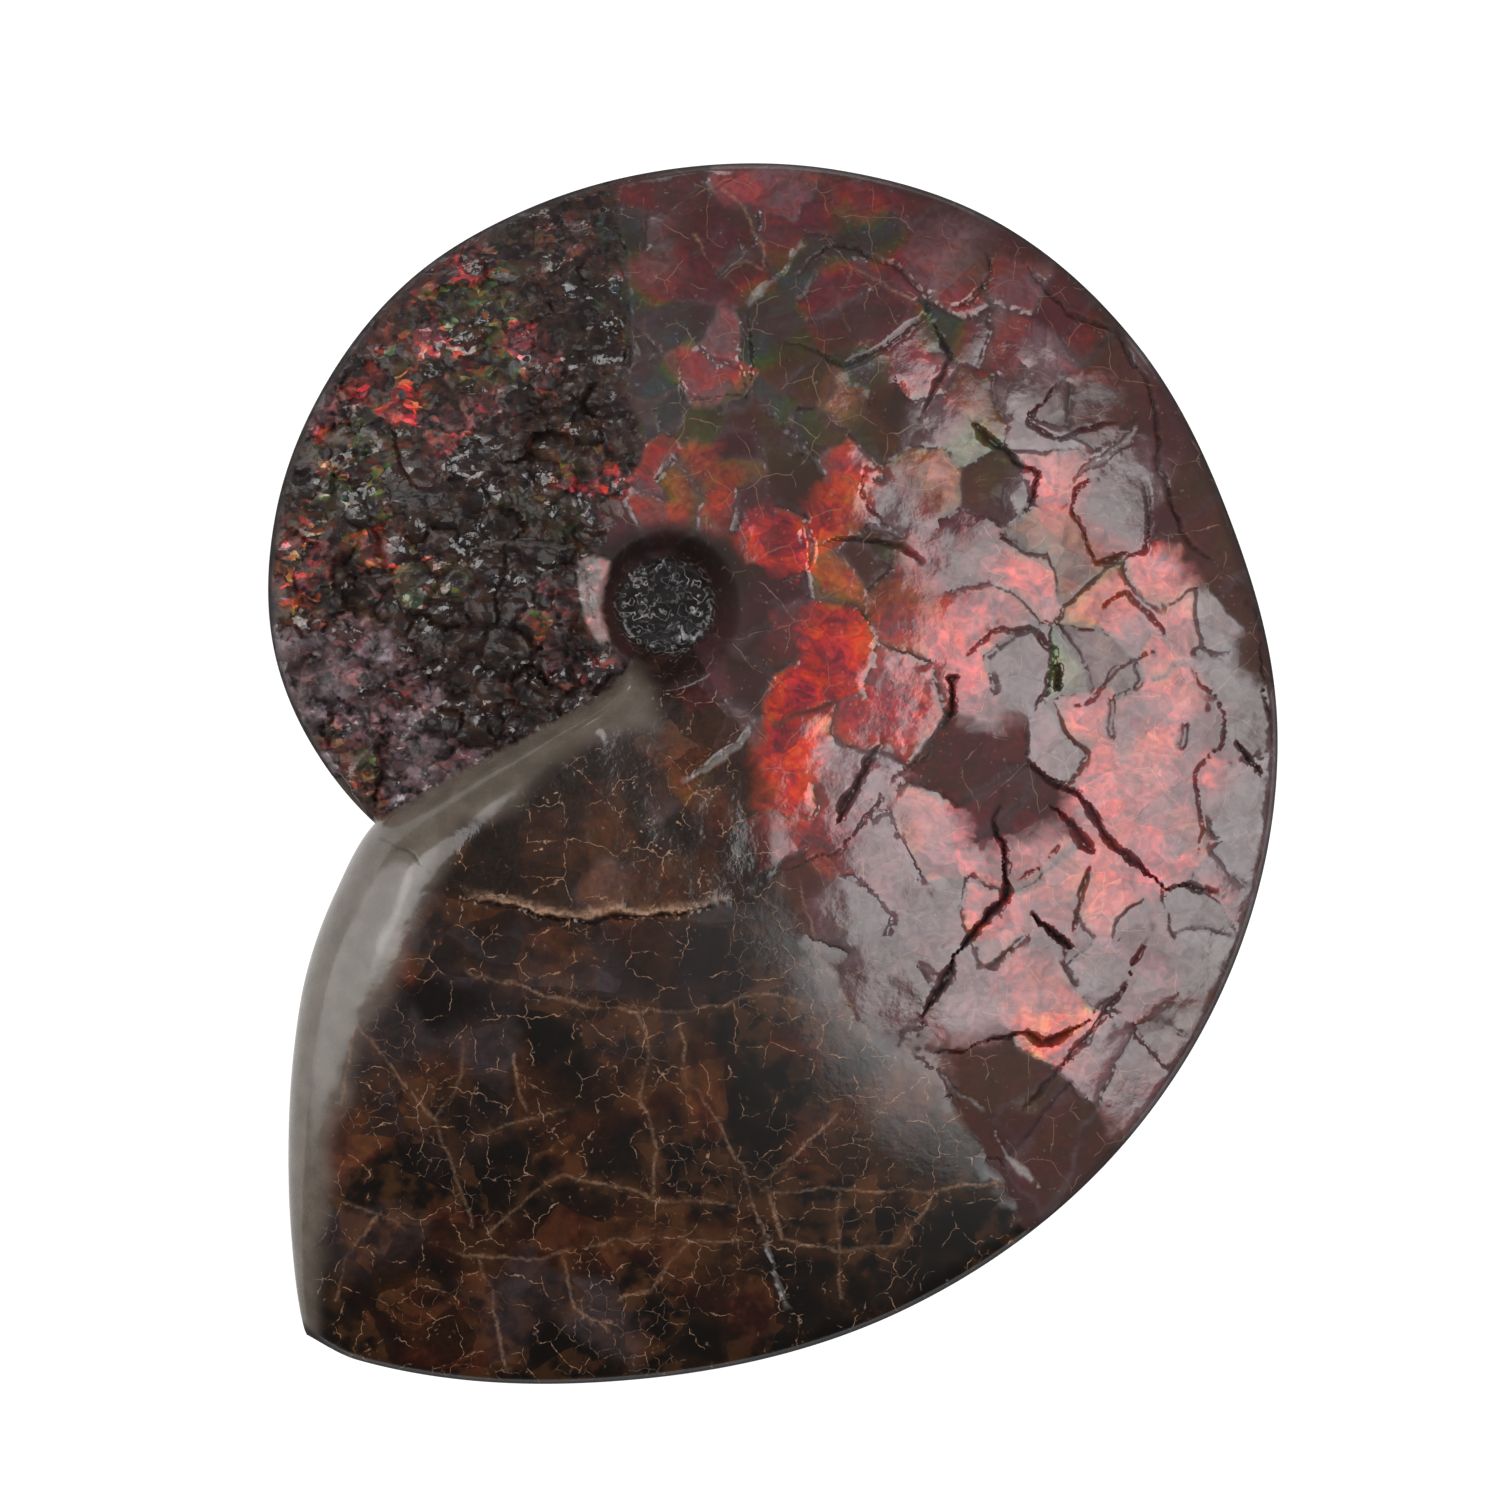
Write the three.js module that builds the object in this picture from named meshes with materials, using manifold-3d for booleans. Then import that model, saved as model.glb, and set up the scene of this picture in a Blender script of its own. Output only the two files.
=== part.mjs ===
// A polished fossil ammonite, one solid piece of shell and stone, lying on its ground flat.
// Millimetres, +Z up. +X and +Y are the right and the top of the face that is looked at.
// The coil is worked out round its pole, the middle of the umbilicus, and moved at the end so
// that the origin is the bottom centre of its box.
// Angles are in degrees, counter-clockwise from +X, and they grow from the aperture back along
// the whorl. One full turn further back, the whorl runs in under the aperture.

import * as THREE from "three";
import { mergeVertices } from "three/addons/utils/BufferGeometryUtils.js";
import Module from "manifold-3d";

// Driving dimensions of the coil
const LENGTH = 250; // from the top of the coil to the aperture's lower rim
const HALF_THICKNESS = 22; // of the newest whorl, from the middle plane to the crest
const THINNING = 0.62; // what is left of that one full turn further back
const GROUND = 17.6; // from the middle plane down to the flat that it rests on
const VENTER_HALF = 4; // half the thickness where the flank meets the rounded rim
const RIM_ROUND = 3; // how far in from the rim its rounding reaches
const SHOULDER = 17.4; // radius where the flank meets the umbilical wall
const CREST = 0.22; // where the flank is highest, as a share of the whorl's width
const SHOULDER_DROP = 0.12; // how much lower the umbilical shoulder is than the crest
const FLANK_POWER = 1.9; // how the flank falls from the crest to the rim

// The rim's radius at every 20 degrees along the coil
const RIM_START = 208;
const RIM_STEP = 20;
const RIM_RADIUS = [
  177.9, 173.2, 168.2, 160.0, 153.9, 146.9, 138.3, 128.5, 117.2, 110.3, 103.5,
  95.1, 88.7, 85.2, 84.0, 82.5, 81.8, 80.8, 77.2, 73.0, 70.1, 67.6,
];

// The angle of the aperture's edge, and the width of its rounding, at every 15 mm of radius
const MOUTH_START = 15;
const MOUTH_STEP = 15;
const MOUTH_ANGLE = [
  240, 226, 220, 217.8, 217.6, 221.5, 225.8, 230.6, 235.4, 239.6, 243.4, 247.5,
];
const MOUTH_ROUND = [4, 9, 13, 17, 20, 22, 22, 21, 19, 16, 12, 12];

const TIP_ANGLE = 244; // where the aperture's edge meets the rim
const JOIN_ANGLE = 410; // where the newer part of the coil meets the older part
const OLD_END = 606; // where the older part ends, inside the newer one
const STRAIGHTEN = 70; // the mouth's curve fades out of the rays over these degrees

// The umbilicus: radius and height over the middle plane, from the floor out
const PIT_CENTRE = [0.2, -1.4];
const PIT_PROFILE = [
  [0, 5.2],
  [7, 5],
  [10.2, 6.4],
  [12.4, 11],
  [15.6, 16.5],
  [20.5, 21],
  [20.5, 30],
  [0, 30],
];
const PIT_SIDES = 18;

// Fineness of the mesh: rays round the coil, and rings from the pole to the rim
const NEW_RAYS = 35;
const OLD_RAYS = 28;
const MOUTH_TURNS = [0, 0.9, 2.4, 5, 8.5, 12.5, 17];
const FACE_RINGS = 13;
const BACK_RINGS = 8;
const LAST_RING = 0.28; // how far into the rim's rounding the last ring but one lies
const RIM_TRIES = 30; // rounds in which a ray finds where it meets the rim
const STRIP_STEP = 12; // longest stretch of a crack between two of its sections
const MERGE = 1e-4; // corners closer than this are one
const SUNK = 1; // how far a lip's edges lie under the face
const CUT_OVER = 1.2; // how far a crack's cutter stands over it

// Cracks, ledges and plates were placed on a picture of the face: its pole and its length
const POLE_PX = [665, 600];
const LENGTH_PX = 1220;
const MM_PER_PX = LENGTH / LENGTH_PX;

// Cracks, open to the face, with their width and depth
const CRACKS = {
  chamberLedge: {
    width: 2.6,
    depth: 1.6,
    px: [
      [447, 885], [480, 902], [530, 915], [590, 921], [650, 921], [705, 914],
      [745, 896], [785, 876], [830, 853], [870, 815], [893, 780],
    ],
  },
  rightArc: {
    width: 2.8,
    depth: 2.4,
    px: [
      [1023, 730], [1029, 758], [1059, 787], [1107, 836], [1143, 874], [1183, 886],
      [1238, 901],
    ],
  },
  deepBend: {
    width: 3.0,
    depth: 2.4,
    px: [
      [1003, 790], [998, 819], [1006, 853], [987, 918], [953, 953], [930, 1005],
      [909, 1052],
    ],
  },
  blackSlit: { width: 2.0, depth: 2.2, px: [[1026, 906], [1052, 930], [1078, 956]] },
  darkLens: { width: 3.6, depth: 2.4, px: [[834, 830], [858, 785], [882, 742]] },
  redLens: { width: 3.0, depth: 2.0, px: [[1048, 798], [1072, 826], [1095, 861]] },
  chippedEdge: {
    width: 2.0,
    depth: 1.8,
    px: [[914, 1046], [968, 1052], [1044, 1044], [1113, 1002], [1155, 920]],
  },
  topVein: { width: 2.2, depth: 1.8, px: [[799, 246], [769, 284], [746, 320], [735, 400]] },
  crushedFault: {
    width: 2.0,
    depth: 1.6,
    px: [[615, 185], [622, 255], [625, 308], [630, 360], [618, 420]],
  },
  crevice: { width: 2.4, depth: 2.4, px: [[965, 672], [950, 680], [948, 730]] },
  rimSpindle: { width: 2.0, depth: 1.4, px: [[1231, 733], [1250, 758], [1267, 781]] },
  upperPlates: {
    width: 2.0,
    depth: 1.6,
    px: [[926, 311], [952, 352], [925, 400], [890, 440], [880, 470]],
  },
  upperRight: {
    width: 2.2,
    depth: 1.8,
    px: [[1000, 300], [985, 360], [1000, 420], [1045, 470], [1040, 560], [1080, 640]],
  },
  shoulderPlates: { width: 2.0, depth: 1.8, px: [[1150, 420], [1130, 450], [1060, 500]] },
  rimPlates: {
    width: 2.0,
    depth: 1.6,
    px: [[1160, 500], [1165, 590], [1110, 650], [1060, 690]],
  },
  byUmbilicus: { width: 1.8, depth: 1.6, px: [[830, 480], [800, 540], [810, 590], [830, 650]] },
  chamberGash: { width: 2.0, depth: 1.4, px: [[763, 1236], [775, 1270], [790, 1307]] },
  whiteVein: { width: 2.0, depth: 1.4, px: [[990, 1130], [1010, 1160], [1044, 1190]] },
  innerStreak: { width: 1.8, depth: 1.3, px: [[690, 790], [730, 745], [760, 717]] },
};

// Lips of shell that stand up along a crack
const LIPS = {
  chamberLedge: {
    width: 3.4,
    height: 0.9,
    px: [
      [455, 878], [490, 893], [540, 903], [600, 909], [655, 909], [710, 902], [750, 884],
    ],
  },
  leftCrest: { width: 3.0, height: 0.9, px: [[330, 435], [352, 432], [380, 440]] },
  innerCrest: { width: 3.4, height: 1.0, px: [[500, 540], [545, 552], [590, 550]] },
  crescent: { width: 3.6, height: 1.2, px: [[576, 563], [579, 600], [595, 640]] },
  innerStreak: { width: 3.2, height: 1.0, px: [[684, 778], [725, 752], [757, 717]] },
};

// Plates of shell that stand a little proud of their neighbours
const PLATE_LIFT = 0.8;
const PLATES = {
  bigMaroon: [
    [777, 334], [782, 288], [845, 265], [914, 292], [926, 311], [868, 357], [815, 349],
  ],
  redTop: [[669, 352], [748, 330], [770, 345], [755, 395], [690, 400], [665, 380]],
  maroonTop: [[645, 190], [740, 185], [775, 240], [745, 310], [690, 320], [650, 300]],
  blueRight: [
    [1082, 500], [1120, 455], [1146, 470], [1150, 520], [1115, 558], [1080, 540],
  ],
  maroonRight: [
    [1038, 400], [1060, 365], [1110, 362], [1136, 400], [1090, 437], [1045, 435],
  ],
  coralRight: [
    [1105, 690], [1180, 650], [1200, 700], [1195, 800], [1175, 875], [1140, 850],
    [1100, 790], [1050, 745],
  ],
  brightRed: [
    [790, 700], [826, 655], [880, 612], [940, 640], [945, 700], [925, 790], [850, 850],
    [800, 850], [782, 780],
  ],
  greyMiddle: [
    [815, 880], [870, 815], [940, 775], [992, 820], [990, 890], [945, 945], [900, 1040],
    [850, 1000], [815, 950],
  ],
  coralMiddle: [
    [1015, 830], [1050, 805], [1100, 850], [1135, 895], [1125, 960], [1080, 1000],
    [1010, 980], [1000, 920],
  ],
  redChip: [[748, 529], [762, 518], [789, 516], [800, 539], [799, 571], [783, 571]],
  orangeUpper: [[885, 470], [930, 450], [985, 470], [990, 520], [930, 530], [885, 510]],
  orangeMiddle: [[818, 555], [860, 545], [935, 545], [940, 600], [880, 605], [830, 590]],
  maroonLower: [
    [1060, 1060], [1120, 1010], [1170, 925], [1225, 910], [1215, 970], [1160, 1060],
    [1080, 1120], [1030, 1120],
  ],
  byCrevice: [
    [970, 672], [985, 625], [1050, 615], [1080, 645], [1060, 700], [1010, 745], [965, 730],
  ],
};

// The crushed part, where the shell is broken into small chips that stand on edge
const CRUSH_SEED = 11;
const CHIPS = 82;
const CRUSH_FROM = 458; // angle along the coil where it starts
const CRUSH_TO = 572; // and where it ends, short of the aperture
const CRUSH_INNER = 24; // clear of the umbilicus
const CRUSH_MARGIN = 6; // clear of the rim
const CHIP_LONG = [3.2, 7.2]; // half length, from and to
const CHIP_SLIM = [0.35, 0.75]; // width as a share of the length
const CHIP_HIGH = [1.5, 2.7]; // height over the face
const CHIP_TIP = 0.35; // how far a chip may tip, in radians

// Rubble on the floor of the umbilicus
const RUBBLE = 7;
const RUBBLE_SIZE = [2.1, 1.3, 1.05];
const RUBBLE_RING = 6.2;

const COLOUR = 0x4a1c18;
const ROUGHNESS = 0.25;

const wasm = await Module();
wasm.setup();

const { clamp, degToRad, euclideanModulo, lerp, radToDeg } = THREE.MathUtils;

// A smooth curve through equally spaced values
function through(values, start, step, x) {
  const last = values.length - 1;
  const place = clamp((x - start) / step, 0, last);
  const i = Math.min(Math.floor(place), last - 1);
  const f = place - i;
  const [a, b, c, d] = [i - 1, i, i + 1, i + 2].map(
    (k) => values[clamp(k, 0, last)],
  );
  const bend = 2 * a - 5 * b + 4 * c - d;
  return b + 0.5 * f * (c - a + f * (bend + f * (3 * (b - c) + d - a)));
}

const rimRadius = (angle) => through(RIM_RADIUS, RIM_START, RIM_STEP, angle);
const mouthAngle = (r) => through(MOUTH_ANGLE, MOUTH_START, MOUTH_STEP, r);
const mouthRound = (r) => through(MOUTH_ROUND, MOUTH_START, MOUTH_STEP, r);

// From 0 at an edge to 1 one width in from it, as a quarter of a circle
function quarterRound(distance, width) {
  const out = 1 - clamp(distance / width, 0, 1);
  return Math.sqrt(1 - out * out);
}

// Height of the flank over the middle plane
function flankHeight(r, angle) {
  const rim = rimRadius(angle);
  const crest = HALF_THICKNESS * THINNING ** ((angle - TIP_ANGLE) / 360);
  const share = clamp((r - SHOULDER) / (rim - SHOULDER), 0, 1);
  const fall =
    share < CREST
      ? SHOULDER_DROP * ((CREST - share) / CREST) ** 2
      : (1 - VENTER_HALF / crest) *
        ((share - CREST) / (1 - CREST)) ** FLANK_POWER;
  return crest * (1 - fall) * quarterRound(rim - r, RIM_ROUND);
}

// The same with the aperture's rounding, which lowers the newest part of the whorl
function roundedHeight(r, angle) {
  const slant = (r * degToRad(mouthAngle(r + 1) - mouthAngle(r - 1))) / 2;
  const along = Math.max(degToRad(angle - mouthAngle(r)), 0) * r;
  const distance = along / Math.hypot(1, slant);
  return flankHeight(r, angle) * quarterRound(distance, mouthRound(r));
}

// Height of the face at a place, whichever whorl is on top there
function faceHeight(x, y) {
  const r = Math.hypot(x, y);
  const mouth = mouthAngle(r);
  const angle = mouth + euclideanModulo(radToDeg(Math.atan2(y, x)) - mouth, 360);
  return Math.max(roundedHeight(r, angle), flankHeight(r, angle + 360));
}

const toFace = ([px, py]) =>
  new THREE.Vector2(px - POLE_PX[0], POLE_PX[1] - py).multiplyScalar(MM_PER_PX);

// A solid from the coordinates of its corners, and the corners of its triangles
function solidOf(coordinates, corners) {
  const vertProperties = new Float32Array(coordinates);
  const triVerts = new Uint32Array(corners);
  return new wasm.Manifold(new wasm.Mesh({ numProp: 3, vertProperties, triVerts }));
}

const solidOfPoints = (points, triangles) =>
  solidOf(points.flatMap((point) => point.toArray()), triangles.flat());

function solidFrom(geometry) {
  const bare = geometry.clone();
  bare.deleteAttribute("normal");
  bare.deleteAttribute("uv");
  const merged = mergeVertices(bare, MERGE);
  return solidOf(merged.attributes.position.array, merged.index.array);
}

// The same numbers on every run, between 0 and 1
function* chance(seed) {
  for (let state = seed; ; ) {
    state = (Math.imul(state, 1664525) + 1013904223) >>> 0;
    yield state / 2 ** 32;
  }
}

// Radii of the rings along a ray, closer at the rim, whose rounding they follow
function ringRadii(rim, rings) {
  const inner = rim - RIM_ROUND;
  const even = Array.from(
    { length: rings - 2 },
    (_, j) => (inner * (j + 1)) / (rings - 2),
  );
  return [...even, rim - LAST_RING * RIM_ROUND, rim];
}

// Part of the coil, between its first and its last ray, with its face a little higher by lift
// A ray is a function from radius to angle. Where the heights along the first ray are all zero,
// the part ends there in an edge, and otherwise in a flat wall.
function coilPart(rays, height, lift) {
  const points = [
    new THREE.Vector3(0, 0, HALF_THICKNESS / 2 + lift),
    new THREE.Vector3(0, 0, -HALF_THICKNESS / 2),
  ];
  const triangles = [];
  const place = (ray, r, z) => {
    const angle = degToRad(ray(r));
    points.push(new THREE.Vector3(r * Math.cos(angle), r * Math.sin(angle), z));
    return points.length - 1;
  };
  const add = (a, b, c, flip) => {
    if (a === b || b === c || c === a) return;
    triangles.push(flip ? [a, c, b] : [a, b, c]);
  };
  // Fills the strip between two chains of points, whose ends may be shared
  const zip = (a, b, flip) => {
    let i = 0;
    let j = 0;
    while (i < a.length - 1 || j < b.length - 1) {
      const aStep = i + 1 < a.length ? points[a[i + 1]].distanceTo(points[b[j]]) : Infinity;
      const bStep = j + 1 < b.length ? points[a[i]].distanceTo(points[b[j + 1]]) : Infinity;
      const along = aStep <= bStep;
      add(a[i], along ? a[i + 1] : b[j + 1], b[j], flip);
      if (along) i += 1;
      else j += 1;
    }
  };
  const chains = rays.map((ray) => {
    let rim = rimRadius(TIP_ANGLE);
    for (let k = 0; k < RIM_TRIES; k++) rim = rimRadius(ray(rim));
    const face = ringRadii(rim, FACE_RINGS).map((r) =>
      place(ray, r, height(r, ray(r)) + (r < rim ? lift : 0)),
    );
    const back = ringRadii(rim, BACK_RINGS)
      .slice(0, -1)
      .map((r) => place(ray, r, -height(r, ray(r))));
    return { face: [0, ...face], back: [1, ...back, face[face.length - 1]] };
  });
  for (let i = 1; i < chains.length; i++) {
    zip(chains[i - 1].face, chains[i].face, false);
    zip(chains[i - 1].back, chains[i].back, true);
  }
  const first = chains[0];
  const last = chains[chains.length - 1];
  zip(first.face, [0, ...first.back], true);
  zip(last.face, [0, ...last.back], false);
  return solidOfPoints(points, triangles);
}

// The newer part: its first ray is the aperture's edge, and the next ones straighten
function newerPart(lift) {
  const lastTurn = MOUTH_TURNS[MOUTH_TURNS.length - 1];
  const rest = JOIN_ANGLE - TIP_ANGLE - lastTurn;
  const turns = [
    ...MOUTH_TURNS,
    ...Array.from(
      { length: NEW_RAYS },
      (_, i) => lastTurn + (rest * (i + 1)) / NEW_RAYS,
    ),
  ];
  const rays = turns.map((turn) => (r) => {
    const fade = clamp(1 - turn / STRAIGHTEN, 0, 1) ** 2;
    return TIP_ANGLE + turn + (mouthAngle(r) - TIP_ANGLE) * fade;
  });
  return coilPart(rays, roundedHeight, lift);
}

function olderPart(lift) {
  const rays = Array.from({ length: OLD_RAYS + 1 }, (_, i) => {
    const angle = lerp(JOIN_ANGLE, OLD_END, i / OLD_RAYS);
    return () => angle;
  });
  return coilPart(rays, flankHeight, lift);
}

const coil = (lift) => newerPart(lift).add(olderPart(lift));

// A three-sided strip along a path on the face, pointed at both ends
// Its two edges lie at one height over the face, and its middle line at another.
function strip(px, width, edges, middle) {
  const corners = px.map(toFace);
  const path = [corners[0]];
  for (let i = 1; i < corners.length; i++) {
    const steps = Math.ceil(corners[i].distanceTo(corners[i - 1]) / STRIP_STEP);
    for (let k = 1; k <= steps; k++)
      path.push(corners[i - 1].clone().lerp(corners[i], k / steps));
  }
  const over = (p, height) =>
    new THREE.Vector3(p.x, p.y, faceHeight(p.x, p.y) + height);
  const points = [over(path[0], edges)];
  const end = 1 + 3 * (path.length - 2);
  const triangles = [];
  const sideOrder = middle > edges ? [0, 1, 2] : [0, 2, 1];
  for (let i = 1; i < path.length - 1; i++) {
    const along = path[i + 1].clone().sub(path[i - 1]).normalize();
    const side = new THREE.Vector2(-along.y, along.x).multiplyScalar(width / 2);
    points.push(
      over(path[i].clone().add(side), edges),
      over(path[i].clone().sub(side), edges),
      over(path[i], middle),
    );
  }
  points.push(over(path[path.length - 1], edges));
  for (let k = 0; k < 3; k++) {
    const a = sideOrder[k];
    const b = sideOrder[(k + 1) % 3];
    triangles.push([0, 1 + a, 1 + b], [end, end - 3 + b, end - 3 + a]);
    for (let i = 1; i + 3 < end; i += 3)
      triangles.push([i + a, i + 3 + a, i + b], [i + b, i + 3 + a, i + 3 + b]);
  }
  return solidOfPoints(points, triangles);
}

// One plate: the outline cut out of a coil that is a little higher
function plate(px, liftedCoil) {
  const outline = new THREE.ExtrudeGeometry(new THREE.Shape(px.map(toFace)), {
    depth: 2 * HALF_THICKNESS,
    bevelEnabled: false,
  });
  return solidFrom(outline).intersect(liftedCoil);
}

// One chip: a flat eight-sided splinter, half sunk in the face
function chip(x, y, base, size, turn, tip) {
  const splinter = new THREE.OctahedronGeometry(1);
  splinter.scale(size.x, size.y, size.z);
  splinter.rotateY(tip);
  splinter.rotateZ(turn);
  splinter.translate(x, y, base);
  return solidFrom(splinter);
}

function crushedChips() {
  const next = chance(CRUSH_SEED);
  const between = ([low, high]) => lerp(low, high, next.next().value);
  return Array.from({ length: CHIPS }, () => {
    const angle = between([CRUSH_FROM, CRUSH_TO]);
    const rim = rimRadius(angle) - CRUSH_MARGIN;
    const r = Math.sqrt(between([CRUSH_INNER ** 2, rim ** 2]));
    const x = r * Math.cos(degToRad(angle));
    const y = r * Math.sin(degToRad(angle));
    const long = between(CHIP_LONG);
    const size = new THREE.Vector3(long, long * between(CHIP_SLIM), between(CHIP_HIGH));
    const tip = between([-CHIP_TIP, CHIP_TIP]);
    return chip(x, y, faceHeight(x, y), size, between([0, Math.PI]), tip);
  });
}

// The hollow of the umbilicus, on the face with side 1 and on the back with side -1
function umbilicus(side) {
  const profile = PIT_PROFILE.map(([r, z]) => new THREE.Vector2(r, z));
  const pit = new THREE.LatheGeometry(profile, PIT_SIDES);
  pit.rotateX((side * Math.PI) / 2);
  pit.translate(PIT_CENTRE[0], PIT_CENTRE[1], 0);
  return solidFrom(pit);
}

function rubble() {
  const next = chance(CRUSH_SEED + 1);
  return Array.from({ length: RUBBLE }, (_, i) => {
    const turn = ((i + next.next().value) / RUBBLE) * 2 * Math.PI;
    const r = RUBBLE_RING * Math.sqrt(next.next().value);
    const size = new THREE.Vector3(...RUBBLE_SIZE);
    const x = PIT_CENTRE[0] + r * Math.cos(turn);
    const y = PIT_CENTRE[1] + r * Math.sin(turn);
    return chip(x, y, PIT_PROFILE[0][1], size, 3 * turn, CHIP_TIP);
  });
}

function groundFlat() {
  const block = new THREE.BoxGeometry(2 * LENGTH, 2 * LENGTH, LENGTH);
  block.translate(0, 0, -GROUND - LENGTH / 2);
  return solidFrom(block);
}

const join = (solid, others) => others.reduce((sum, one) => sum.add(one), solid);
const cut = (solid, others) => others.reduce((sum, one) => sum.subtract(one), solid);

// Leaves out specks that are cut loose, and pockets that are closed in between chips
const outerSurface = (solid) =>
  solid.decompose().reduce((a, b) => (a.volume() > b.volume() ? a : b));

function ammonite() {
  const lifted = coil(PLATE_LIFT);
  const plates = Object.values(PLATES).map((px) => plate(px, lifted));
  const lips = Object.values(LIPS).map((lip) => strip(lip.px, lip.width, -SUNK, lip.height));
  const cracks = Object.values(CRACKS).map((crack) =>
    strip(crack.px, crack.width, CUT_OVER, -crack.depth),
  );
  const proud = join(coil(0), [...plates, ...lips, ...crushedChips()]);
  const cracked = cut(proud, [...cracks, umbilicus(1), umbilicus(-1), groundFlat()]);
  return outerSurface(join(cracked, rubble()));
}

// The solid as a mesh, standing on the ground with its box centred on the origin
function meshOf(solid, name) {
  const { vertProperties, triVerts } = solid.getMesh();
  const geometry = new THREE.BufferGeometry();
  geometry.setAttribute("position", new THREE.BufferAttribute(vertProperties, 3));
  geometry.setIndex(new THREE.BufferAttribute(triVerts, 1));
  geometry.computeBoundingBox();
  const centre = geometry.boundingBox.getCenter(new THREE.Vector3());
  geometry.translate(-centre.x, -centre.y, -geometry.boundingBox.min.z);
  const shell = new THREE.MeshStandardMaterial({
    color: COLOUR,
    roughness: ROUGHNESS,
    metalness: 0,
  });
  const mesh = new THREE.Mesh(geometry, shell);
  mesh.name = name;
  return mesh;
}

const group = new THREE.Group();
group.add(meshOf(ammonite(), "ammonite"));

export default group;
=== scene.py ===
"""A polished fossil ammonite with iridescent shell, lying on its side.

The coil is a flat sheet, cut to the ammonite's outline, that a Geometry Nodes tree lifts to the
form of the whorls. Cracks, plates of shell and crushed chips are worked out on the sheet first,
and the same places carry their colours, so relief and colour agree.

Lengths on the sheet are millimetres from the pole, the middle of the umbilicus. Angles are
degrees, counter-clockwise from +X, and they grow from the aperture back along the whorl.
"""

from __future__ import annotations

import logging
import math
from collections.abc import Callable
from dataclasses import dataclass, field
from enum import Enum

import bpy
import numpy as np
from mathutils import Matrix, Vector
from mathutils.geometry import delaunay_2d_cdt

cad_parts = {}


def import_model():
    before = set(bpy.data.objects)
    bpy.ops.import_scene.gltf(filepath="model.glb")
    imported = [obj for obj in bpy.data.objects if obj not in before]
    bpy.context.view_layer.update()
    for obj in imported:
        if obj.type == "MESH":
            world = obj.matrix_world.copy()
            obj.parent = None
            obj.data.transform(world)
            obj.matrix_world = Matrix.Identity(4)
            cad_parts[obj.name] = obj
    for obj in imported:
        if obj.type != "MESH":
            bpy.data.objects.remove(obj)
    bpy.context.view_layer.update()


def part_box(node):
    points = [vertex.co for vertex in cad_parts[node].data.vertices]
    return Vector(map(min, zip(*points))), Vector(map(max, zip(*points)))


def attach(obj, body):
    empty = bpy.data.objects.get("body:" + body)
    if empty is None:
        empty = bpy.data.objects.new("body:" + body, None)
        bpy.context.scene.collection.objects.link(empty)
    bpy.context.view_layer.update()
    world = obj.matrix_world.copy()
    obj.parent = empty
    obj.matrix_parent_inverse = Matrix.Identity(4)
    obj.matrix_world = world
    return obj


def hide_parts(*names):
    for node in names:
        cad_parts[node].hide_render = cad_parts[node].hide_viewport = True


LOG = logging.getLogger("ammonite")

NODE = "ammonite"
BODY = "root"
METRES_PER_MM = 0.001

# The picture that places were read from: its size, and the pole's place in it
PICTURE_PX = 1500
POLE_PX = (665.0, 600.0)
LENGTH_PX = 1220.0
LENS_MM = 100.0
SENSOR_MM = 36.0

Pixel = tuple[float, float]
Colour = tuple[float, float, float, float]


class Side(Enum):
    """The two sheets that close the disc."""

    FACE = 1
    BACK = -1


class Tone(Enum):
    """Colours of the shell.

    Each is a place in the play of colour, how strongly it glows, how much grey lies over it (partly
    the shell's own grey, partly painted haze of reflected light), and how far it has lost its
    polish.
    """

    BLACK = (0.20, 0.00, 0.00, 1.0)
    BROWN = (0.40, 0.05, 0.02, 1.0)
    RUST = (0.43, 0.07, 0.00, 1.0)
    DUSK = (0.08, 0.13, 0.02, 1.0)
    EMBER = (0.42, 0.14, 0.05, 0.0)
    ASH = (0.97, 0.18, 0.02, 0.5)
    TAN = (0.44, 0.12, 0.20, 0.2)
    SMOKE = (0.40, 0.01, 0.13, 0.3)
    # Lilac-grey film on the crushed lumps, partly painted sheen
    LILAC_SHEEN = (0.08, 0.22, 0.60, 0.0)
    MAROON = (0.03, 0.14, 0.06, 0.3)
    WINE = (0.06, 0.25, 0.12, 0.0)
    ROSE = (0.17, 0.36, 0.28, 0.0)
    RED = (0.16, 0.54, 0.14, 0.0)
    BRIGHT = (0.23, 0.95, 0.02, 0.0)
    PINK = (0.12, 0.30, 0.34, 0.0)
    CORAL = (0.20, 0.58, 0.22, 0.0)
    ORANGE = (0.40, 0.50, 0.06, 0.2)
    MOSS = (0.64, 0.38, 0.07, 0.0)
    OLIVE = (0.56, 0.08, 0.00, 0.8)
    GREEN = (0.74, 0.15, 0.00, 0.7)
    SLATE = (0.14, 0.06, 0.26, 0.0)


@dataclass(frozen=True)
class Seam:
    """A crack, ledge or vein along a path on the face.

    Args:
        path: Its corners in the picture.
        width: Full width in millimetres.
        depth: How deep it is cut, in millimetres.
        lip: Height of the shell's edge beside it, on the left as the path runs.
        dark: How dark its bottom is, from 0 to 1.
        pale: How much of it is filled with pale mineral, from 0 to 1.
        tan: How much tan shell shows at its lip, from 0 to 1.
    """

    path: tuple[Pixel, ...]
    width: float = 2.0
    depth: float = 1.2
    lip: float = 0.0
    dark: float = 0.8
    pale: float = 0.0
    tan: float = 0.0


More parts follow.
